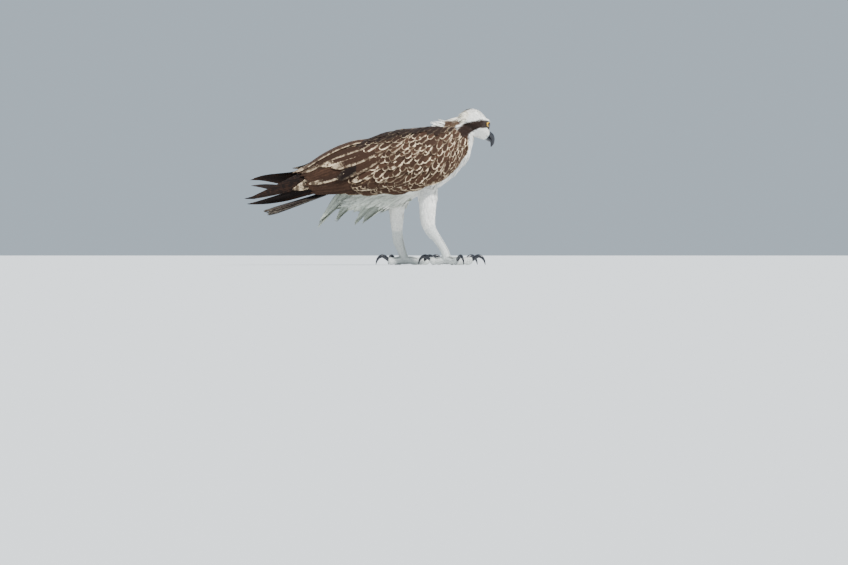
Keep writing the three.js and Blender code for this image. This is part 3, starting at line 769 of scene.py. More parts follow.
def scale_finish():
    """Reticulate leg skin: pale grey, waxy, with darker seams between the scales."""
    m = material_named("scaled_leg_skin")
    place = node(m, "ShaderNodeTexCoord")
    cells = node(m, "ShaderNodeTexVoronoi", {"feature": "DISTANCE_TO_EDGE", "Scale": per_metre(1.9231)},
                 {"Vector": place.outputs["Object"]})
    seam = node(m, "ShaderNodeMapRange", {1: 0.0, 2: 0.18}, {0: cells.outputs[0]})
    tone = node(m, "ShaderNodeMix", {"data_type": "RGBA", 6: (*rgb("b0b5b0"), 1), 7: (*rgb("e6e7e2"), 1)},
                {0: seam.outputs[0]})
    bump = node(m, "ShaderNodeBump", {"Strength": 0.7, "Distance": 0.0006}, {"Height": seam.outputs[0]})
    p = shader(m)
    connect(m, tone.outputs[2], p, "Base Color")
    connect(m, bump.outputs[0], p, "Normal")
    p.inputs["Roughness"].default_value = 0.5
    return m


# The eye's colours, from the middle of the pupil outward
EYE_STOPS = ((0.215, "030304"), (0.24, "b87c10"), (0.33, "e6b92c"), (0.42, "b98218"), (0.45, "1a120a"))


def eye_finish():
    """Cornea over a yellow iris and a round black pupil, wet and clear."""
    m = material_named("wet_eye")
    ring = node(m, "ShaderNodeAttribute", {"attribute_name": "off_axis"})
    ramp = node(m, "ShaderNodeValToRGB", links={0: ring.outputs["Fac"]})
    stops = ramp.color_ramp.elements
    stops[0].position, stops[0].color = 0.0, (0.002, 0.002, 0.003, 1)
    stops[1].position, stops[1].color = 0.62, (0.004, 0.004, 0.005, 1)
    for at, code in EYE_STOPS:
        stop = stops.new(at)
        stop.color = (*rgb(code), 1)
    p = shader(m)
    connect(m, ramp.outputs[0], p, "Base Color")
    p.inputs["Roughness"].default_value = 0.05
    p.inputs["Coat Weight"].default_value = 0.35
    p.inputs["Coat Roughness"].default_value = 0.02
    return m


# Choices a user would change

class OspreyPlumage(bpy.types.PropertyGroup):
    brown: FloatVectorProperty(
        name="Brown", description="Centres of the upper feathers", subtype="COLOR", size=3,
        default=tuple(PLUMAGE["umber"]),
    )
    fringe: FloatVectorProperty(
        name="Fringe", description="Pale edges of the upper feathers", subtype="COLOR", size=3,
        default=tuple(PLUMAGE["buff"]),
    )
    body_spacing: FloatProperty(
        name="Body spacing", description="Distance between body feathers", default=5 * MM, min=2 * MM,
        subtype="DISTANCE", unit="LENGTH", precision=4,
    )
    head_spacing: FloatProperty(
        name="Head spacing", description="Distance between head feathers", default=2 * MM, min=1 * MM,
        subtype="DISTANCE", unit="LENGTH", precision=4,
    )
    primaries: IntProperty(
        name="Primaries", description="Flight feathers of each wing's hand", default=10, min=6,
    )
    secondaries: IntProperty(
        name="Secondaries", description="Flight feathers of each wing's arm", default=15, min=8,
    )
    rectrices: IntProperty(name="Tail feathers", description="Feathers of the tail", default=12, min=8)


FINISH = {}


def finish(name):
    """Each finish is made once."""
    makers = {
        "feather": feather_finish, "skin": skin_finish, "horn": horn_finish, "scales": scale_finish,
        "eye": eye_finish, "lids": lid_skin_finish,
    }
    if name not in FINISH:
        FINISH[name] = makers[name]()
    return FINISH[name]


def varied(colours, amount):
    """Each row's colour a little lighter or darker."""
    return np.clip(colours * (1 + amount * rng.standard_normal((len(colours), 1))), 0, 1)


# The body's skin and small feathers

SKIN = {"around": 48, "steps": 40, "voxel": 1.7, "rounds": 6}


def skin_places():
    places = [
        trunk_at(-COAT["trunk"]), tube_at(NECK, -COAT["neck"]), skull_at(-COAT["head"]),
        tube_at(DOWN, -COAT["down"]),
    ]
    places += [head_tube(BROW, side) for side in (RIGHT, LEFT)]
    places += [tube_at(mirrored(leg["thigh"], leg["side"]), -COAT["thigh"]) for leg in LEGS.values()]
    return [*places, tube_at(RUMP, -COAT["rump"])]


class OSPREY_OT_skin(bpy.types.Operator):
    """One skin over trunk, neck, head and thighs"""
    bl_idname = "osprey.skin"
    bl_label = "Skin"

    def execute(self, context):
        obj = lofted("skin", skin_places(), finish("skin"), SKIN["around"], SKIN["steps"])
        fused(obj, SKIN["voxel"], SKIN["rounds"])
        # The marking attribute carries the plumage's colours and the painted shade on the white underside
        tint(obj.data, "marking", markings_and_shade(points_of(obj.data)))
        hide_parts("torso", "neck", "head", "thigh_r", "thigh_l")
        return {"FINISHED"}


# The small feathers' way: straight back, falling more toward belly and breast, back over the head, and down
# the thighs, whose feathers are those near a thigh's middle line and off the body's
BACKWARD = (-1.0, 0.0, -0.2)
BELLY_FALL = {"share": 0.5, "z": (190, 130)}
BREAST_FALL = {"share": 0.9, "x": (60, 130)}
HEAD_FALL = {"share": 0.25, "f": (-44, -26), "z": (262, 282)}
THIGH = {"reach": 26, "off_middle": 14, "over": 4, "step": 8, "back": 0.4}


def thigh_middle(leg, z):
    rows = leg["thigh"][::-1]
    return np.interp(z, [row[2] for row in rows], [row[0] for row in rows])


def lie_of(points, normals):
    """The way the small feathers point at places on the skin."""
    f, _, _ = in_head(points)
    x, y, z = points.T
    back = np.tile(BACKWARD, (len(points), 1))
    belly = BELLY_FALL["share"] * ease(*BELLY_FALL["z"], z)
    breast = BREAST_FALL["share"] * ease(*BREAST_FALL["x"], x)
    back[:, 2] -= belly + breast
    head = -FORWARD - UPWARD * HEAD_FALL["share"]
    near = ease(*HEAD_FALL["f"], f)[:, None] * ease(*HEAD_FALL["z"], z)[:, None]
    lie = back * (1 - near) + head * near
    for leg in LEGS.values():
        middle = thigh_middle(leg, z)
        beside = (np.abs(x - middle) < THIGH["reach"]) & (y * leg["side"] > THIGH["off_middle"])
        on = beside & (z < leg["thigh"][1][2] + THIGH["over"])
        ahead = thigh_middle(leg, z - THIGH["step"]) - middle
        lie[on] = stack(ahead - THIGH["back"], 0, -THIGH["step"])[on] / THIGH["step"]
    return lie - normals * np.sum(lie * normals, axis=1, keepdims=True)


UNWRAP_FROM, UNWRAP_LONG = -200, 420


def unwrapped(points):
    """A place on an unwrap of the skin: along the body, and round it."""
    z, _, _ = along(TRUNK, points[:, 0])
    turn = np.arctan2(points[:, 1], points[:, 2] - z) / (2 * np.pi) + 0.5
    return stack(np.clip((points[:, 0] - UNWRAP_FROM) / UNWRAP_LONG, 0, 1), np.clip(turn, 0, 1))


# How the small feathers shorten: how much, and between which distances or places. Near the eye, a feather is
# left out where the place at this share of its length comes closer to the rim than clear
BY_SHANK = {"share": 0.62, "over_end": (42, 8)}
BY_EYE = {"least": 0.5, "gap": (0, 15), "tip": 0.8, "clear": 1}
BY_TAIL = {"least": 0.6, "x": (-96, -130)}


def near_shank(points):
    """1 where the legs' feathering ends, 0 well above."""
    ends = np.where(points[:, 1] < 0, LEGS["r"]["thigh"][-1][2], LEGS["l"]["thigh"][-1][2])
    above, at_end = BY_SHANK["over_end"]
    return ease(ends + above, ends + at_end, points[:, 2])


def shortened(points):
    """The share of its full size that a small feather has at each place."""
    by_shank = 1 - BY_SHANK["share"] * near_shank(points)
    by_eye = mix(BY_EYE["least"], 1, ease(*BY_EYE["gap"], eye_gap(points)))
    return by_shank * by_eye * mix(1, BY_TAIL["least"], ease(*BY_TAIL["x"], points[:, 0]))


# Small feathers: which spacing and what share of it, length, half width, lift and curl of the tip, and where
# they differ, share of pale fringe, raggedness, outline and how deep the root sits
COATS = {
    "face": {"of": "head", "share": 0.65, "long": 4.2, "wide": 0.85, "lift": 1.1, "curl": 0.4,
             "widths": ROUND_TIP, "sink": 0.2},
    "crown": {"of": "head", "share": 0.68, "long": 7.5, "wide": 1.0, "lift": 1.7, "curl": 0.9},
    "neck": {"of": "head", "share": 1.15, "long": 15, "wide": 1.9, "lift": 2.8, "curl": 1.4, "fringe": 0.3,
             "ragged": 0.2},
    "ruff": {"of": "head", "share": 1.2, "long": 13, "wide": 1.5, "lift": 9.5, "curl": 1.0, "ragged": 0.3},
    "shoulder": {"of": "body", "share": 0.8, "long": 19, "wide": 3.8, "lift": 2.8, "curl": 1.6,
                 "fringe": 0.85, "widths": ROUND_TIP},
    "mantle": {"of": "body", "share": 1.3, "long": 32, "wide": 7.0, "lift": 4.2, "curl": 2.8, "fringe": 0.35,
               "ragged": 0.12, "widths": ROUND_TIP},
    "breast": {"of": "body", "share": 0.7, "long": 20, "wide": 2.5, "lift": 3.6, "curl": 2.0, "ragged": 0.2},
    "belly": {"of": "body", "share": 0.75, "long": 25, "wide": 2.8, "lift": 5.0, "curl": 0.5, "ragged": 0.25},
    "thigh": {"of": "body", "share": 0.45, "long": 13, "wide": 1.6, "lift": 2.2, "curl": 1.1, "ragged": 0.2},
}
SMALL_SWAY, SMALL_SHADES, DARK_BELOW = 0.12, 0.05, 0.25


def coat_piece(name, spacing, long, wide, lift, curl, fringe=0.0, ragged=0.15, widths=SOFT_TIP, sink=0.4):
    points, normals = faces_of(bpy.data.objects["skin"].data)
    chosen = np.flatnonzero(grows(name, points))
    chosen = chosen[thinned(points[chosen], spacing)]
    points, normals = points[chosen], normals[chosen]
    tips = points + unit(lie_of(points, normals)) * long * BY_EYE["tip"]
    clear = eye_gap(tips) > BY_EYE["clear"]
    points, normals = points[clear], normals[clear]
    count = len(points)
    size = (1 + ragged * rng.standard_normal(count)) * shortened(points)
    lie = lie_of(points, normals)
    lie += SMALL_SWAY * rng.standard_normal((count, 3)) * np.linalg.norm(lie, axis=1, keepdims=True)
    # Plumage colours, with painted shade on the feathers of the white underside
    shade = varied(markings_and_shade(points), SMALL_SHADES)
    dark = (shade.mean(axis=1) < DARK_BELOW).astype(float)
    pale = blended(shade, PLUMAGE["buff"], dark * fringe)
    obj = small_vanes(
        name + "_feathers", points - normals * sink, lie, normals, long * size, wide * size, lift * size,
        curl * size, shade, pale, unwrapped(points), finish("feather"), widths=widths,
    )


# Where each coat grows: the least and the most of each measure
FAR = 999
REGIONS = {
    "face": {"f": (8, 38.5), "z": (262, FAR), "to_eye": (1.2, FAR)},
    "crown": {"f": (-34, 8), "aside": (-1, 40), "z": (272, FAR), "to_eye": (1.2, FAR)},
    "neck": {"f": (-FAR, 38), "x": (96, FAR)},
    "shoulder": {"f": (-FAR, -42)},
    "ruff": {"x": (84, 99), "z": (298, FAR), "y": (-1, 44)},
    "mantle": {"x": (-170, 60), "over": (0.15, FAR)},
    "rump": {"x": (-165, -104), "above_rump": (1, FAR), "y": (-1, 30)},
    "breast": {"x": (-150, 98), "z": (150, FAR)},
    "belly": {"x": (-135, 98), "z": (-FAR, 156)},
}
# Where the folded wing hides the trunk: between which x, and how far inside its flesh's edges in degrees
WING_COVER = {"x": (-200, 136), "edge": 6}
# The thighs' coat: how far from a thigh's middle line it reaches, and how far over the lower end it starts
THIGH_COAT = {"reach": 25, "over_end": 10}


def within(name, m):
    """Which places with the measures m lie in that region."""
    limits = REGIONS[name].items()
    return np.logical_and.reduce([(m[key] > low) & (m[key] < high) for key, (low, high) in limits])


def hidden_by_wing(points):
    """Under the wing's flesh, clear of its edges."""
    x = points[:, 0]
    z, high, wide = along(FOLD, x)
    turn = np.degrees(np.arctan2(np.abs(points[:, 1]) / wide, (points[:, 2] - z) / high))
    top, low, _ = along(SHELL, x)
    rear, front = WING_COVER["x"]
    return (x > rear) & (x < front) & (turn > top + WING_COVER["edge"]) & (turn < low - WING_COVER["edge"])


def on_thigh(points):
    x, y, z = points.T
    on = np.zeros(len(points), bool)
    for leg in LEGS.values():
        rows = leg["thigh"]
        beside = np.abs(x - thigh_middle(leg, z)) < THIGH_COAT["reach"]
        beside &= y * leg["side"] > THIGH["off_middle"]
        on |= beside & (z < rows[1][2]) & (z > rows[-1][2] + THIGH_COAT["over_end"])
    return on


def grows(name, points):
    """Which places carry that coat."""
    m = measures(points)
    clear = ~hidden_by_wing(points)
    thigh = on_thigh(points)
    face, crown = within("face", m), within("crown", m)
    mantle = within("mantle", m) | within("rump", m)
    shoulder = within("shoulder", m) & clear & (on_shoulder(m) > 0.5)
    chosen = {
        "face": face,
        "crown": crown,
        "neck": within("neck", m) & clear & ~face & ~crown & ~shoulder,
        "ruff": within("ruff", m),
        "shoulder": shoulder,
        "mantle": mantle,
        "breast": within("breast", m) & clear & ~thigh & ~mantle & ~shoulder,
        "belly": within("belly", m) & clear & ~thigh,
        "thigh": thigh,
    }
    return chosen[name]


PLUME_WIDTHS = [(0, 0.6), (0.25, 1), (0.6, 0.86), (0.82, 0.52), (1, 0.06)]
# The plumes of one row: how many, points along and across, half widths, how far roots stray, how much shorter
# the shortest are, how steeply the outer ones stand, how far each hangs askew, and their thickness
PLUMES = {
    "count": 120, "rows": 12, "cols": 3, "wide": (3.2, 6.0), "stray": 14, "short": 0.5, "roll": 1.25,
    "sway": 0.05, "thick": 0.35,
}


def plume_row(x0, z0, back, down, spread):
    """Upper sheets of one row of plumes, and the ways they face."""
    each = (PLUMES["count"], 1, 1)
    v = np.linspace(0, 1, PLUMES["rows"])[None, :, None]
    u = np.linspace(-1, 1, PLUMES["cols"])[None, None, :]
    profile = along(PLUME_WIDTHS, v)[0]
    k = rng.uniform(-1, 1, each)
    t = v * (1 - PLUMES["short"] * rng.random(each) ** 2)
    sway = rng.standard_normal(each)
    root = rng.uniform(-PLUMES["stray"], PLUMES["stray"], each)
    flat = u * rng.uniform(*PLUMES["wide"], each) * profile
    roll = PLUMES["roll"] * k
    x = x0 + root * (1 - t) - back * t * (1 + PLUMES["sway"] * sway)
    out = spread / 2 * k * (1 + 0.3 * v) * (1 - 0.35 * t)
    fall = down * t ** 1.2 * (1 + PLUMES["sway"] * 1.2 * sway) + 0.9 * np.abs(u) * profile
    root_height = z0 + 6 * rng.random(each) + 8 * k * k
    sheet = stack(x, out + flat * np.cos(roll) + 0.8 * sway * v * v, root_height - fall - flat * np.sin(roll))
    return sheet, np.broadcast_to(unit(stack(-0.35, np.sin(roll), np.cos(roll))), sheet.shape)


def plumes():
    """Long loose plumes that hang back from belly and vent and end in points, tinted grey-green as painted
    shade.
    """
    sheets, faced = zip(*[plume_row(*row) for row in VENT])
    upper = np.concatenate(sheets)
    # Painted shade: the white plumes take the grey-green of the wing's shadow
    shade = varied(np.tile(PLUMAGE["shaded"], (len(upper), 1)), 0.12)
    obj = vanes(
        "vent_plumes", upper, np.concatenate(faced), PLUMES["thick"], shade, shade, unwrapped(upper[:, 0, 1]),
        finish("feather"),
    )


class OSPREY_OT_body_feathers(bpy.types.Operator):
    """Small feathers of head, neck, trunk, belly and thighs"""
    bl_idname = "osprey.body_feathers"
    bl_label = "Body feathers"

    def execute(self, context):
        props = context.scene.osprey
        spacing = {"head": round(props.head_spacing / MM, 3), "body": round(props.body_spacing / MM, 3)}
        for name, coat in COATS.items():
            sizes = {key: value for key, value in coat.items() if key not in ("of", "share")}
            coat_piece(name, spacing[coat["of"]] * coat["share"], **sizes)
        plumes()
        return {"FINISHED"}


# Wings

VANE_WIDTHS = [(0, 0.5), (0.25, 0.82), (0.6, 1), (0.86, 0.86), (0.95, 0.6), (1, 0.28)]
POINTED_WIDTHS = [(0, 0.5), (0.25, 0.85), (0.55, 1), (0.75, 0.82), (0.9, 0.5), (1, 0.14)]


def big_vane_grid(side, root, tip, wide, off, twist, sink, widths=VANE_WIDTHS, rows=14, cols=5):
    """Upper sheets of large wing feathers from arrays: root and tip (n, 2) are x and angle, wide their half
    width, off their height over the fold, twist how far the lower edge stands over the upper one."""
    v = np.linspace(0, 1, rows)[None, :, None]
    u = np.linspace(-1, 1, cols)[None, None, :]
    column = [a[:, None, None] for a in (root[:, 0], root[:, 1], tip[:, 0], tip[:, 1], wide, off)]
    x0, a0, x1, a1, wide, off = column
    body = along(widths, v)[0]
    round_tip = wide * 0.5 * (1 - u ** 2) * ease(0.85, 1, v)
    x = mix(x0, x1, v) - round_tip
    _, high, half = along(FOLD, x)
    arc = np.degrees(2 * u * wide * body / (high + half))
    angle = mix(a0, a1, v) + arc
    rise = off + twist * u * body - sink * (1 - ease(0, 0.3, v)) - 0.9 * np.abs(u) * body
    x, angle, rise = np.broadcast_arrays(x, angle, rise)
    upper = fold_at(side, x, angle, rise)
    out = unit(fold_at(side, x, angle, rise + 1) - fold_at(side, x, angle, rise))
    return upper, out


# The flight feathers, from innermost to outermost: x and angle of the roots, half widths, height over the
# fold, how far the tips stray in x and angle, their outline, and the tips' x and angle at shares of the way
TIERS = {
    "primaries": {
        "x": (-120, -150), "a": (46, 108), "wide": (12, 10.5), "off": -4.2, "loose": 0.6, "turn": 0,
        "widths": POINTED_WIDTHS,
        "tip_x": {
            RIGHT: ([0, 0.45, 0.78, 0.88, 1], [-236, -300, -338, -334, -330]),
            LEFT: ([0, 0.45, 0.78, 0.88, 1], [-236, -300, -328, -326, -320]),
        },
        "tip_a": ([0, 0.68, 0.8, 0.87, 1], [40, 64, 74, 142, 150]),
    },
    "secondaries": {
        "x": (-90, -84), "a": (31, 116), "wide": (12, 9), "off": -0.6, "loose": 2.5, "turn": 0.6,
        "widths": VANE_WIDTHS,
        "tip_x": {RIGHT: ([0, 1], [-222, -190]), LEFT: ([0, 1], [-222, -190])},
        "tip_a": ([0, 1], [33, 122]),
    },
}
# How deep the large feathers' roots sit, and how thick their vanes are
FLIGHT_SINK, FLIGHT_THICK = 6, 0.7
WING_FROM, WING_LONG = -340, 500


def wing_unwrapped(x, angle):
    """A root's place on an unwrap of the wing."""
    return stack(np.clip((x - WING_FROM) / WING_LONG, 0, 1), angle / 180)


def tier_feathers(name, side, count, centre, edge, twist=1.3):
    tier = TIERS[name]
    k = np.linspace(0, 1, count)
    stray = rng.standard_normal((2, count))
    root = stack(mix(*tier["x"], k), mix(*tier["a"], k))
    tip_x = np.interp(k, *tier["tip_x"][side]) + tier["loose"] * stray[0]
    tip_angle = np.interp(k, *tier["tip_a"]) + tier["turn"] * stray[1]
    wide = mix(*tier["wide"], k)
    off = np.full(count, tier["off"])
    tip = stack(tip_x, tip_angle)
    upper, out = big_vane_grid(side, root, tip, wide, off, twist, FLIGHT_SINK, tier["widths"])
    shade = varied(np.tile(centre, (count, 1)), 0.12)
    pale = varied(np.tile(edge, (count, 1)), 0.1)
    where = wing_unwrapped(root[:, 0], root[:, 1])
    letter = "r" if side == RIGHT else "l"
    obj = vanes(f"{name}_{letter}", upper, out, FLIGHT_THICK, shade, pale, where, finish("feather"))


def turn_at(x, angle):
    """Radians that the wing's feathers point below straight back. They flatten along the wing's edges."""
    low = mix(-0.15, 1, ease(127, 98, angle))
    top = mix(0.4, 1, ease(20, 50, angle))
    return np.radians(along(LIE, x)[0] * low * top)


def fold_radius(x):
    _, high, half = along(FOLD, x)
    return (high + half) / 2


def laid(name, side, x, angle, long, wide, rise, shade, pale, widths, sway,
         rows=12, cols=7, sink=1.6, tilt=0.7):
    """Wing feathers that follow the wing's lie from their roots: long and wide are length and half width,
    rise the tip's height over the coat."""
    steps = 1 - (1 - np.linspace(0, 1, rows)) ** 1.5
    xs, angles, turns = (np.empty((len(x), rows)) for _ in range(3))
    at_x, at_angle = x.astype(float), angle.astype(float)
    for j in range(rows):
        turn = turn_at(at_x, at_angle) + sway
        xs[:, j], angles[:, j], turns[:, j] = at_x, at_angle, turn
        step = long * (steps[min(j + 1, rows - 1)] - steps[j])
        at_x = at_x - step * np.cos(turn)
        at_angle = at_angle + np.degrees(step * np.sin(turn) / fold_radius(at_x))
    profile = along(widths, steps)[0]
    nicked = 1 - 0.16 * rng.random((len(x), rows, 2)) ** 3
    u = np.linspace(-1, 1, cols)
    edge = np.where(u < 0, nicked[:, :, :1], nicked[:, :, 1:])
    half = wide[:, None, None] * profile[None, :, None] * u * edge
    x_all = xs[:, :, None] + half * np.sin(turns)[:, :, None]
    a_all = angles[:, :, None] + np.degrees(half * np.cos(turns)[:, :, None] / fold_radius(xs)[:, :, None])
    sunk = sink * (1 - ease(0, 0.3, steps))[None, :, None]
    height = along(COVER, x_all)[0] + rise[:, None, None] * steps[None, :, None] - sunk
    height = height + tilt * (u * profile[:, None])[None] - 0.1 * np.abs(half)
    upper = fold_at(side, x_all, a_all, height)
    out = unit(fold_at(side, x_all, a_all, height + 1) - upper)
    obj = vanes(name, upper, out, COVERTS["thick"], shade, pale, wing_unwrapped(x, angle), finish("feather"))


def spread_out(x, angle, long, wide):
    """Indices of roots about long apart along the lie and wide apart across it."""
    turn = turn_at(x, angle)
    down = fold_radius(x) * np.radians(angle)
    kept = [0]
    for i in range(1, len(x)):
        dx, ds = x[kept] - x[i], down[kept] - down[i]
        lengthways = (ds * np.sin(turn[i]) - dx * np.cos(turn[i])) / long[i]
        across = (dx * np.sin(turn[i]) + ds * np.cos(turn[i])) / wide[i]
        if (lengthways ** 2 + across ** 2).min() > 1:
            kept.append(i)
    return np.array(kept)


# Coverts: how many places are tried and between which x and angles, how far inside the flesh's edges they
# keep and how far past them the shoulder's may go, how close they stand along and across, and their thickness
COVERTS = {
    "tries": 14000, "x": (-150, 147), "angle": (18, 130), "inset": 2, "shoulder": (7, 5),
    "apart": (0.27, 1.02), "thick": 0.4,
}
# Their length and half width on the upper and lower wing, and the share of these at the rear and the shoulder
COVERT_LONG = {"upper": 34, "lower": 44, "rear": 1.5, "front": 0.56}
COVERT_WIDE = {"upper": 7.8, "lower": 6.4, "rear": 1.25, "front": 0.62}
# The warm pale patch on the lower rear of the coverts: the x and angle of its middle, and its reach in both
GOLDEN = {"at": (-72, 92), "reach": (30, 13)}
COVERT_WIDTHS = [(0, 0.3), (0.15, 0.66), (0.45, 1), (0.75, 0.98), (0.9, 0.72), (0.97, 0.4), (1, 0.12)]


def covert_size(sizes, lower, rear, front):
    on_wing = mix(sizes["upper"], sizes["lower"], lower)
    return on_wing * mix(1, sizes["rear"], rear) * mix(1, sizes["front"], front)


def coverts(side, letter):
    """The wing's and shoulder's small and middling feathers, one coat from shoulder to flight feathers."""
    props = bpy.context.scene.osprey
    x = rng.uniform(*COVERTS["x"], COVERTS["tries"])
    angle = rng.uniform(*COVERTS["angle"], COVERTS["tries"])
    top, low, _ = along(SHELL, x)
    shoulder = ease(90, 130, x)
    past_top, past_low = COVERTS["shoulder"]
    inside = angle > top + COVERTS["inset"] - past_top * shoulder
    inside &= angle < low - COVERTS["inset"] + past_low * shoulder
    inside &= x > mix(-62, -150, ease(64, 94, angle))
    x, angle = x[inside], angle[inside]
    lower, rear, front = ease(78, 100, angle), ease(20, -110, x), ease(92, 132, x)
    long = covert_size(COVERT_LONG, lower, rear, front)
    wide = covert_size(COVERT_WIDE, lower, rear, front)
    lengthways, across = COVERTS["apart"]
    kept = spread_out(x, angle, long * lengthways, wide * across)
    x, angle, long, wide, lower, rear = (a[kept] for a in (x, angle, long, wide, lower, rear))
    n = len(x)
    size = 1 + 0.1 * rng.standard_normal(n)
    upper_edge = ease(mix(36, 46, ease(60, 20, x)), 30, angle)
    brown, fringe = np.array(props.brown), np.array(props.fringe)
    dusky = np.clip(upper_edge + 0.5 * rng.random(n) ** 2, 0, 1)
    shade = blended(np.tile(brown, (n, 1)), PLUMAGE["dusk"], dusky)
    shade = blended(shade, PLUMAGE["sooty"], 0.5 * upper_edge)
    strength = mix(1, 0.5, lower) * mix(1, 0.45, rear) * (1 - 0.9 * upper_edge)
    strength = np.clip(strength * (0.8 + 0.5 * rng.standard_normal(n)), 0.05, 1)
    middle_x, middle_angle = GOLDEN["at"]
    reach_x, reach_angle = GOLDEN["reach"]
    golden = np.exp(-((x - middle_x) / reach_x) ** 2 - ((angle - middle_angle) / reach_angle) ** 2)
    pale = blended(shade, fringe, np.clip(strength + 0.5 * golden, 0, 1))
    pale = blended(pale, PLUMAGE["tan"] * 1.6, 0.45 * golden)
    rise = mix(3.4, 2.4, lower) * size
    sway = np.radians(5) * rng.standard_normal(n)
    laid(
        "coverts_" + letter, side, x, angle, long * size, wide * size, rise, varied(shade, 0.12), pale,
        COVERT_WIDTHS, sway,
    )


# Long shoulder and innermost wing feathers over the wing's rear: root x and angle, tip x and angle, half
# width, height over the fold, share of dark in the centre and of pale in the fringe
CLOAK = [
    (-60, 68, -208, 80, 12, -1.2, 0.5, 0.35),
    (-70, 82, -232, 97, 12, -1.6, 0.6, 0.7),
    (-60, 80, -196, 95, 11, -0.2, 0.4, 0.6),
    (-40, 44, -212, 50, 12, 0.2, 0.4, 0.4),
    (-30, 56, -172, 62, 11, 1.0, 0.3, 0.85),
    (-56, 29, -232, 28, 12.5, 1.6, 0.2, 0.5),
    (-20, 58, -146, 74, 12, 2.0, 0.3, 0.5),
    (-36, 82, -104, 103, 8, 1.8, 0, 0.9),
    (-22, 66, -120, 90, 13, 3.0, 0.25, 0.35),
    (-84, 79, -136, 95, 10.5, 3.4, 0.92, 0.1),
]


def cloak(side, letter):
    rows = np.array(CLOAK)
    props = bpy.context.scene.osprey
    n = len(rows)
    jitter = 2.0 * rng.standard_normal((n, 2)) if side == LEFT else np.zeros((n, 2))
    upper, out = big_vane_grid(
        side, rows[:, :2] + jitter, rows[:, 2:4] + jitter, rows[:, 4], rows[:, 5], 1.2, FLIGHT_SINK,
        rows=18, cols=7,
    )
    shade = blended(np.tile(np.array(props.brown), (n, 1)), PLUMAGE["sooty"], rows[:, 6])
    pale = blended(shade, np.array(props.fringe), rows[:, 7])
    where = wing_unwrapped(rows[:, 0], rows[:, 1])
    name = "long_shoulder_feathers_" + letter
    obj = vanes(name, upper, out, FLIGHT_THICK, shade, pale, where, finish("feather"))


def wing_core(side):
    """The wing's flesh, which shows only between the feathers."""
    bm = bmesh.new()
    verts = bmesh.ops.create_grid(bm, x_segments=40, y_segments=24, size=1)["verts"]
    uv = np.array([v.co[:2] for v in verts])
    x = mix(SHELL[-1][0] - 15, SHELL[0][0], (uv[:, 0] + 1) / 2)
    top, low, off = along(SHELL, x)
    front = ease(80, 124, x)
    angle = mix(top + 3 + 9 * front, low - 4 - 5 * front, (uv[:, 1] + 1) / 2)
    rim = 5 * uv[:, 1] ** 4 + 5 * ease(0.5, -1, uv[:, 0]) ** 3
    for v, p in zip(verts, to_frame(fold_at(side, x, angle, off - 3 - rim))):
        v.co = p
    bmesh.ops.solidify(bm, geom=bm.faces[:], thickness=0.004 * side)
    bmesh.ops.recalc_face_normals(bm, faces=bm.faces)
    letter = "r" if side == RIGHT else "l"
    mesh = bpy.data.meshes.new("wing_core_" + letter)
    bm.to_mesh(mesh)
    bm.free()
    obj = in_scene(mesh, "wing_core_" + letter, finish("skin"))
    tint(mesh, "marking", np.tile(PLUMAGE["dusk"], (len(mesh.vertices), 1)))
    return obj


class OSPREY_OT_wings(bpy.types.Operator):
    """Both folded wings, feather by feather"""
    bl_idname = "osprey.wings"
    bl_label = "Wings"

    def execute(self, context):
        props = context.scene.osprey
        brown = np.array(props.brown)
        for side, letter in ((RIGHT, "r"), (LEFT, "l")):
            core = wing_core(side)
            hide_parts("wing_" + letter)
            tier_feathers("primaries", side, props.primaries, PLUMAGE["sooty"], PLUMAGE["dusk"])
            tier_feathers("secondaries", side, props.secondaries, mix(PLUMAGE["dusk"], brown, 0.4), brown)
            cloak(side, letter)
            coverts(side, letter)
        return {"FINISHED"}


# Tail

# The tail's fan: x and height of its root and tip, half its width at either, one feather's half width and
# thickness, the share of length that the outermost lacks, how far it drops, and how the fan arches
TAIL = {
    "root": (-122, 176), "tip": (-300, 121), "half_root": 10, "half_tip": 34, "wide": 10.5, "thick": 0.8,
    "short": 0.05, "drop": 5.5, "arch": 0.004,
}
TAIL_WIDTHS = [(0, 0.5), (0.3, 0.85), (0.7, 1), (0.9, 0.9), (0.97, 0.66), (1, 0.3)]


class OSPREY_OT_tail(bpy.types.Operator):
    """The tail's flat fan of feathers"""
    bl_idname = "osprey.tail"
    bl_label = "Tail"

    def execute(self, context):
        count, rows, cols = context.scene.osprey.rectrices, 12, 5
        k = (2 * np.arange(count) / (count - 1) - 1)[:, None, None]
        v = np.linspace(0, 1, rows)[None, :, None]
        u = np.linspace(-1, 1, cols)[None, None, :]
        t = v * (1 - TAIL["short"] * k * k - 0.035 * rng.random(k.shape))
        sag = 7 * rng.random(k.shape) - 3
        body = along(TAIL_WIDTHS, v)[0]
        x = mix(TAIL["root"][0], TAIL["tip"][0], t) - 5 * (1 - u ** 2) * ease(0.88, 1, v)
        out = mix(TAIL["half_root"], TAIL["half_tip"], t) * k + u * TAIL["wide"] * body
        droop = TAIL["drop"] * np.abs(k) + np.sign(k) * u * body + TAIL["arch"] * out ** 2 + sag * t
        upper = stack(x, out, mix(TAIL["root"][1], TAIL["tip"][1], t) - droop)
        tall = np.broadcast_to(unit(np.array([-0.3, 0, 0.95])), upper.shape)
        outer = np.abs(k[:, 0, 0]) ** 2
        shade = varied(mix(PLUMAGE["stripe"], PLUMAGE["tail_edge"], outer[:, None]), 0.15)
        pale = varied(mix(shade, PLUMAGE["tail_streak"], 0.14), 0.1)
        where = stack(np.full(count, 0.1), np.linspace(0.2, 0.8, count))
        obj = vanes("tail_feathers", upper, tall, TAIL["thick"], shade, pale, where, finish("feather"))
        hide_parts("tail")
        return {"FINISHED"}


# Head's bare parts

# Which way the eyes look: forward, outward, upward
GAZE = (0.26, 0.96, 0.02)
# How much faster than the angle off the gaze the eye's colours run, from 0 at the pupil's middle
IRIS_SPREAD = 1.6


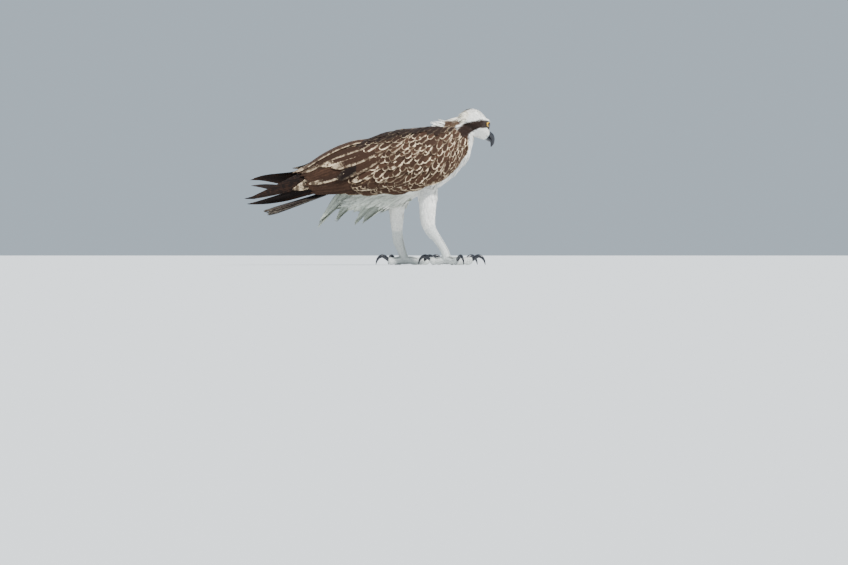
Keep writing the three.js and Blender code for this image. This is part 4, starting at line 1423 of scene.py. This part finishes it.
class OSPREY_OT_eyes(bpy.types.Operator):
    """Eyeballs with iris and pupil"""
    bl_idname = "osprey.eyes"
    bl_label = "Eyes"

    def execute(self, context):
        for side, letter in ((RIGHT, "r"), (LEFT, "l")):
            centre = to_frame(eye_centre(side))
            gaze = unit(FORWARD * GAZE[0] + LEFTWARD * side * GAZE[1] + UPWARD * GAZE[2])
            bm = bmesh.new()
            bmesh.ops.create_uvsphere(bm, u_segments=48, v_segments=32, radius=EYE_R * MM)
            turn = Vector((0, 0, 1)).rotation_difference(Vector(gaze)).to_matrix()
            bmesh.ops.rotate(bm, verts=bm.verts, matrix=turn)
            bmesh.ops.translate(bm, verts=bm.verts, vec=Vector(centre))
            mesh = bpy.data.meshes.new("eyeball_" + letter)
            bm.to_mesh(mesh)
            bm.free()
            obj = in_scene(mesh, "eyeball_" + letter, finish("eye"))
            ray = unit(points_of(mesh) - eye_centre(side))
            off_axis = np.arccos(np.clip(ray @ gaze, -1, 1)) / np.pi * IRIS_SPREAD
            layer = mesh.attributes.new("off_axis", "FLOAT", "POINT")
            layer.data.foreach_set("value", off_axis.astype(np.float32))
            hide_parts("eye_" + letter)
        return {"FINISHED"}


# A lid: radius of the ring and of its cross-section, how far out it stands, how much less so ahead, and its
# height over and under the eye's middle as a share of its width
LID = {"radius": 6.5, "thick": 1.35, "out": 5.9, "lean": 0.2, "over": 0.8, "under": 0.94}


def lid_skin_finish():
    """Bare skin of the lids and the mouth's edge: near black, finely wrinkled, a little moist."""
    m = material_named("dark_lid_skin")
    place = node(m, "ShaderNodeTexCoord")
    noise = node(m, "ShaderNodeTexNoise", {"Scale": per_metre(0.71429), "Detail": 4.0},
                 {"Vector": place.outputs["Object"]})
    bump = node(m, "ShaderNodeBump", {"Strength": 0.35, "Distance": 0.0003}, {"Height": noise.outputs[0]})
    p = shader(m)
    connect(m, bump.outputs[0], p, "Normal")
    p.inputs["Base Color"].default_value = (*rgb("231d1c"), 1)
    p.inputs["Roughness"].default_value = 0.42
    return m


class OSPREY_OT_lids(bpy.types.Operator):
    """A ring of bare lid round each eye"""
    bl_idname = "osprey.lids"
    bl_label = "Lids"

    def execute(self, context):
        bm = bmesh.new()
        for side in (RIGHT, LEFT):
            ring = bmesh.ops.create_circle(bm, segments=12, radius=LID["thick"])
            for v in ring["verts"]:
                v.co = Vector((LID["radius"] + v.co.x, 0, v.co.y))
            edges = list({e for v in ring["verts"] for e in v.link_edges})
            bmesh.ops.spin(
                bm, geom=ring["verts"] + edges, cent=(0, 0, 0), axis=(0, 0, 1), dvec=(0, 0, 0),
                angle=2 * math.pi, steps=48, use_merge=True,
            )
            verts = {v for v in bm.verts if not v.tag}
            for v in verts:
                x, y, z = v.co
                out = EYE_AT[1] + LID["out"] - LID["lean"] * x
                tall = LID["over"] if y > 0 else LID["under"]
                v.co = to_frame(on_head(EYE_AT[0] + x, side * (out + z), EYE_AT[2] + tall * y))
                v.tag = True
        bmesh.ops.recalc_face_normals(bm, faces=bm.faces)
        mesh = bpy.data.meshes.new("eyelids")
        bm.to_mesh(mesh)
        bm.free()
        obj = in_scene(mesh, "eyelids", finish("lids"))
        return {"FINISHED"}


class OSPREY_OT_mouth(bpy.types.Operator):
    """The mouth's dark line and the nostrils"""
    bl_idname = "osprey.mouth"
    bl_label = "Mouth and nostrils"

    def execute(self, context):
        places = [head_tube(rows, side) for side in (RIGHT, LEFT) for rows in (MOUTH, NOSTRIL)]
        obj = lofted("mouth_and_nostrils", places, finish("lids"), 12, 16)
        return {"FINISHED"}


class OSPREY_OT_bill(bpy.types.Operator):
    """The hooked bill's two mandibles"""
    bl_idname = "osprey.bill"
    bl_label = "Bill"

    def execute(self, context):
        upper = lofted("hooked_bill", [bill_at(UPPER_BILL)], finish("horn"), 40, 48, 0.01)
        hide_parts("bill_upper")
        lower = lofted("lower_mandible", [bill_at(LOWER_BILL)], finish("horn"), 32, 24, 0.01)
        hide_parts("bill_lower")
        return {"FINISHED"}


# Legs

SCUTE = [(0, 0.8), (0.4, 1), (0.75, 0.92), (0.92, 0.66), (1, 0.3)]


def scutes(letter, leg):
    """Overlapping plates along the toes' tops and down the shank's front."""
    roots, lies, normals, widths = [], [], [], []
    up = np.array([0.0, 0.0, 1.0])
    for yaw, share in zip(leg["toes"], TOE_SHARES):
        c, s = math.cos(math.radians(yaw)), math.sin(math.radians(yaw))
        for d in np.arange(9, TOE_LONG - 2, 3.1):
            z, wide, high = along(TOE, d)
            roots.append((leg["pad"] + c * d * share, leg["side"] * FOOT_Y + s * d * share, z + high - 0.3))
            lies.append((c, s, 0))
            normals.append(up)
            widths.append(0.72 * wide)
    shank = mirrored(leg["shank"], leg["side"])
    for t in np.linspace(0.36, 0.86, 13):
        s = t * (len(shank) - 1)
        x, y, z, wide, high = along(numbered(shank), s)
        after = along(numbered(shank), s + 0.05)
        lie = unit(np.array([after[0] - x, after[1] - y, after[2] - z]))
        front = unit(np.cross(lie, np.array([0, -1.0, 0])))
        front = front if front[0] > 0 else -front
        roots.append(np.array([x, y, z]) + front * (high - 0.3))
        lies.append(lie)
        normals.append(front)
        widths.append(0.8 * wide)
    n = len(roots)
    wide = np.array(widths, float)
    tone = np.tile(PLUMAGE["scute"], (n, 1))
    long, lift, curl = (np.full(n, size) for size in (4.4, 0.8, 0.2))
    where = stack(np.linspace(0, 1, n), np.full(n, 0.5))
    obj = small_vanes(
        "scutes_" + letter, np.array(roots, float), np.array(lies, float), np.array(normals, float),
        long, wide, lift, curl, tone, tone, where, finish("scales"), rows=6, cols=7, widths=SCUTE, bend=0,
    )


class OSPREY_OT_legs(bpy.types.Operator):
    """Bare shanks and feet, and their claws"""
    bl_idname = "osprey.legs"
    bl_label = "Legs"

    def execute(self, context):
        for letter, leg in LEGS.items():
            places = [tube_at(mirrored(leg["shank"], leg["side"]))]
            places += [toe_at(leg, yaw, share) for yaw, share in zip(leg["toes"], TOE_SHARES)]
            obj = lofted("foot_skin_" + letter, places, finish("scales"), 28, 36)
            fused(obj, 1.0, 4)
            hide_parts("shank_" + letter, "foot_" + letter)
            scutes(letter, leg)
            for i, (yaw, share) in enumerate(zip(leg["toes"], TOE_SHARES), 1):
                places = [claw_at(leg, yaw, share)]
                claw = lofted(f"talon_{letter}{i}", places, finish("horn"), 24, 32, 0.01)
                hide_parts(f"claw_{letter}{i}")
        return {"FINISHED"}


# Stage

# One picture point, the picture's width and height in them, and the row of the floor under the feet
PX = 2.2 * MM
PICTURE = (848, 565)
FLOOR_ROW = 265
# The camera: how far off and how high it stands, its film's width in mm, and the x it faces
LENS_DISTANCE = 9.0
LENS_HEIGHT = 0.03
FILM = 36
AIM_X = 51
# Each lamp: place, softness in degrees, strength
LAMPS = {"key_light": ((2.4, -2.9, 4.7), 5, 7.0), "rim_light": ((-2.5, 4.0, 3.0), 30, 0.6)}


class OSPREY_OT_stage(bpy.types.Operator):
    """Pale floor, soft light and the camera"""
    bl_idname = "osprey.stage"
    bl_label = "Stage"

    def execute(self, context):
        bm = bmesh.new()
        bmesh.ops.create_grid(bm, x_segments=1, y_segments=1, size=20)
        mesh = bpy.data.meshes.new("floor")
        bm.to_mesh(mesh)
        bm.free()
        floor = bpy.data.objects.new("floor", mesh)
        context.scene.collection.objects.link(floor)
        paint = material_named("pale_floor")
        shader(paint).inputs["Base Color"].default_value = (*rgb("d9dcdd"), 1)
        shader(paint).inputs["Roughness"].default_value = 0.8
        mesh.materials.append(paint)
        world = bpy.data.worlds.new("studio")
        context.scene.world = world
        world.use_nodes = True
        back = world.node_tree.nodes["Background"]
        back.inputs[0].default_value = (*rgb("c3d2df"), 1)
        back.inputs[1].default_value = 0.85
        for name, (place, soft, power) in LAMPS.items():
            data = bpy.data.lights.new(name, "SUN")
            data.angle = math.radians(soft)
            data.energy = power
            lamp = bpy.data.objects.new(name, data)
            context.scene.collection.objects.link(lamp)
            lamp.location = place
            lamp.rotation_euler = (-Vector(place)).to_track_quat("-Z", "Y").to_euler()
        view_wide = PICTURE[0] * PX
        middle = (FLOOR_ROW - PICTURE[1] / 2) * PX
        data = bpy.data.cameras.new("camera")
        data.sensor_width = FILM
        data.lens = FILM * LENS_DISTANCE / view_wide
        data.shift_y = (middle - LENS_HEIGHT) / view_wide
        camera = bpy.data.objects.new("camera", data)
        camera.location = ((SHIFT[0] + AIM_X) * MM, -LENS_DISTANCE, LENS_HEIGHT)
        camera.rotation_euler = (math.radians(90), 0, 0)
        context.scene.collection.objects.link(camera)
        context.scene.camera = camera
        return {"FINISHED"}


STEPS = (
    OSPREY_OT_skin, OSPREY_OT_body_feathers, OSPREY_OT_wings, OSPREY_OT_tail, OSPREY_OT_eyes, OSPREY_OT_lids,
    OSPREY_OT_bill, OSPREY_OT_mouth, OSPREY_OT_legs, OSPREY_OT_stage,
)


class OSPREY_PT_panel(bpy.types.Panel):
    bl_label = "Osprey"
    bl_idname = "OSPREY_PT_panel"
    bl_space_type = "VIEW_3D"
    bl_region_type = "UI"
    bl_category = "Osprey"

    def draw(self, context):
        for name in OspreyPlumage.__annotations__:
            self.layout.prop(context.scene.osprey, name)
        for step in STEPS:
            self.layout.operator(step.bl_idname)


CLASSES = (OspreyPlumage, *STEPS, OSPREY_PT_panel)


def register():
    for cls in CLASSES:
        bpy.utils.register_class(cls)
    bpy.types.Scene.osprey = PointerProperty(type=OspreyPlumage)


def unregister():
    del bpy.types.Scene.osprey
    for cls in reversed(CLASSES):
        bpy.utils.unregister_class(cls)


def main():
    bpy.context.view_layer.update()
    register()
    for step in STEPS:
        group, name = step.bl_idname.split(".")
        getattr(getattr(bpy.ops, group), name)()


if __name__ == "__main__":
    main()
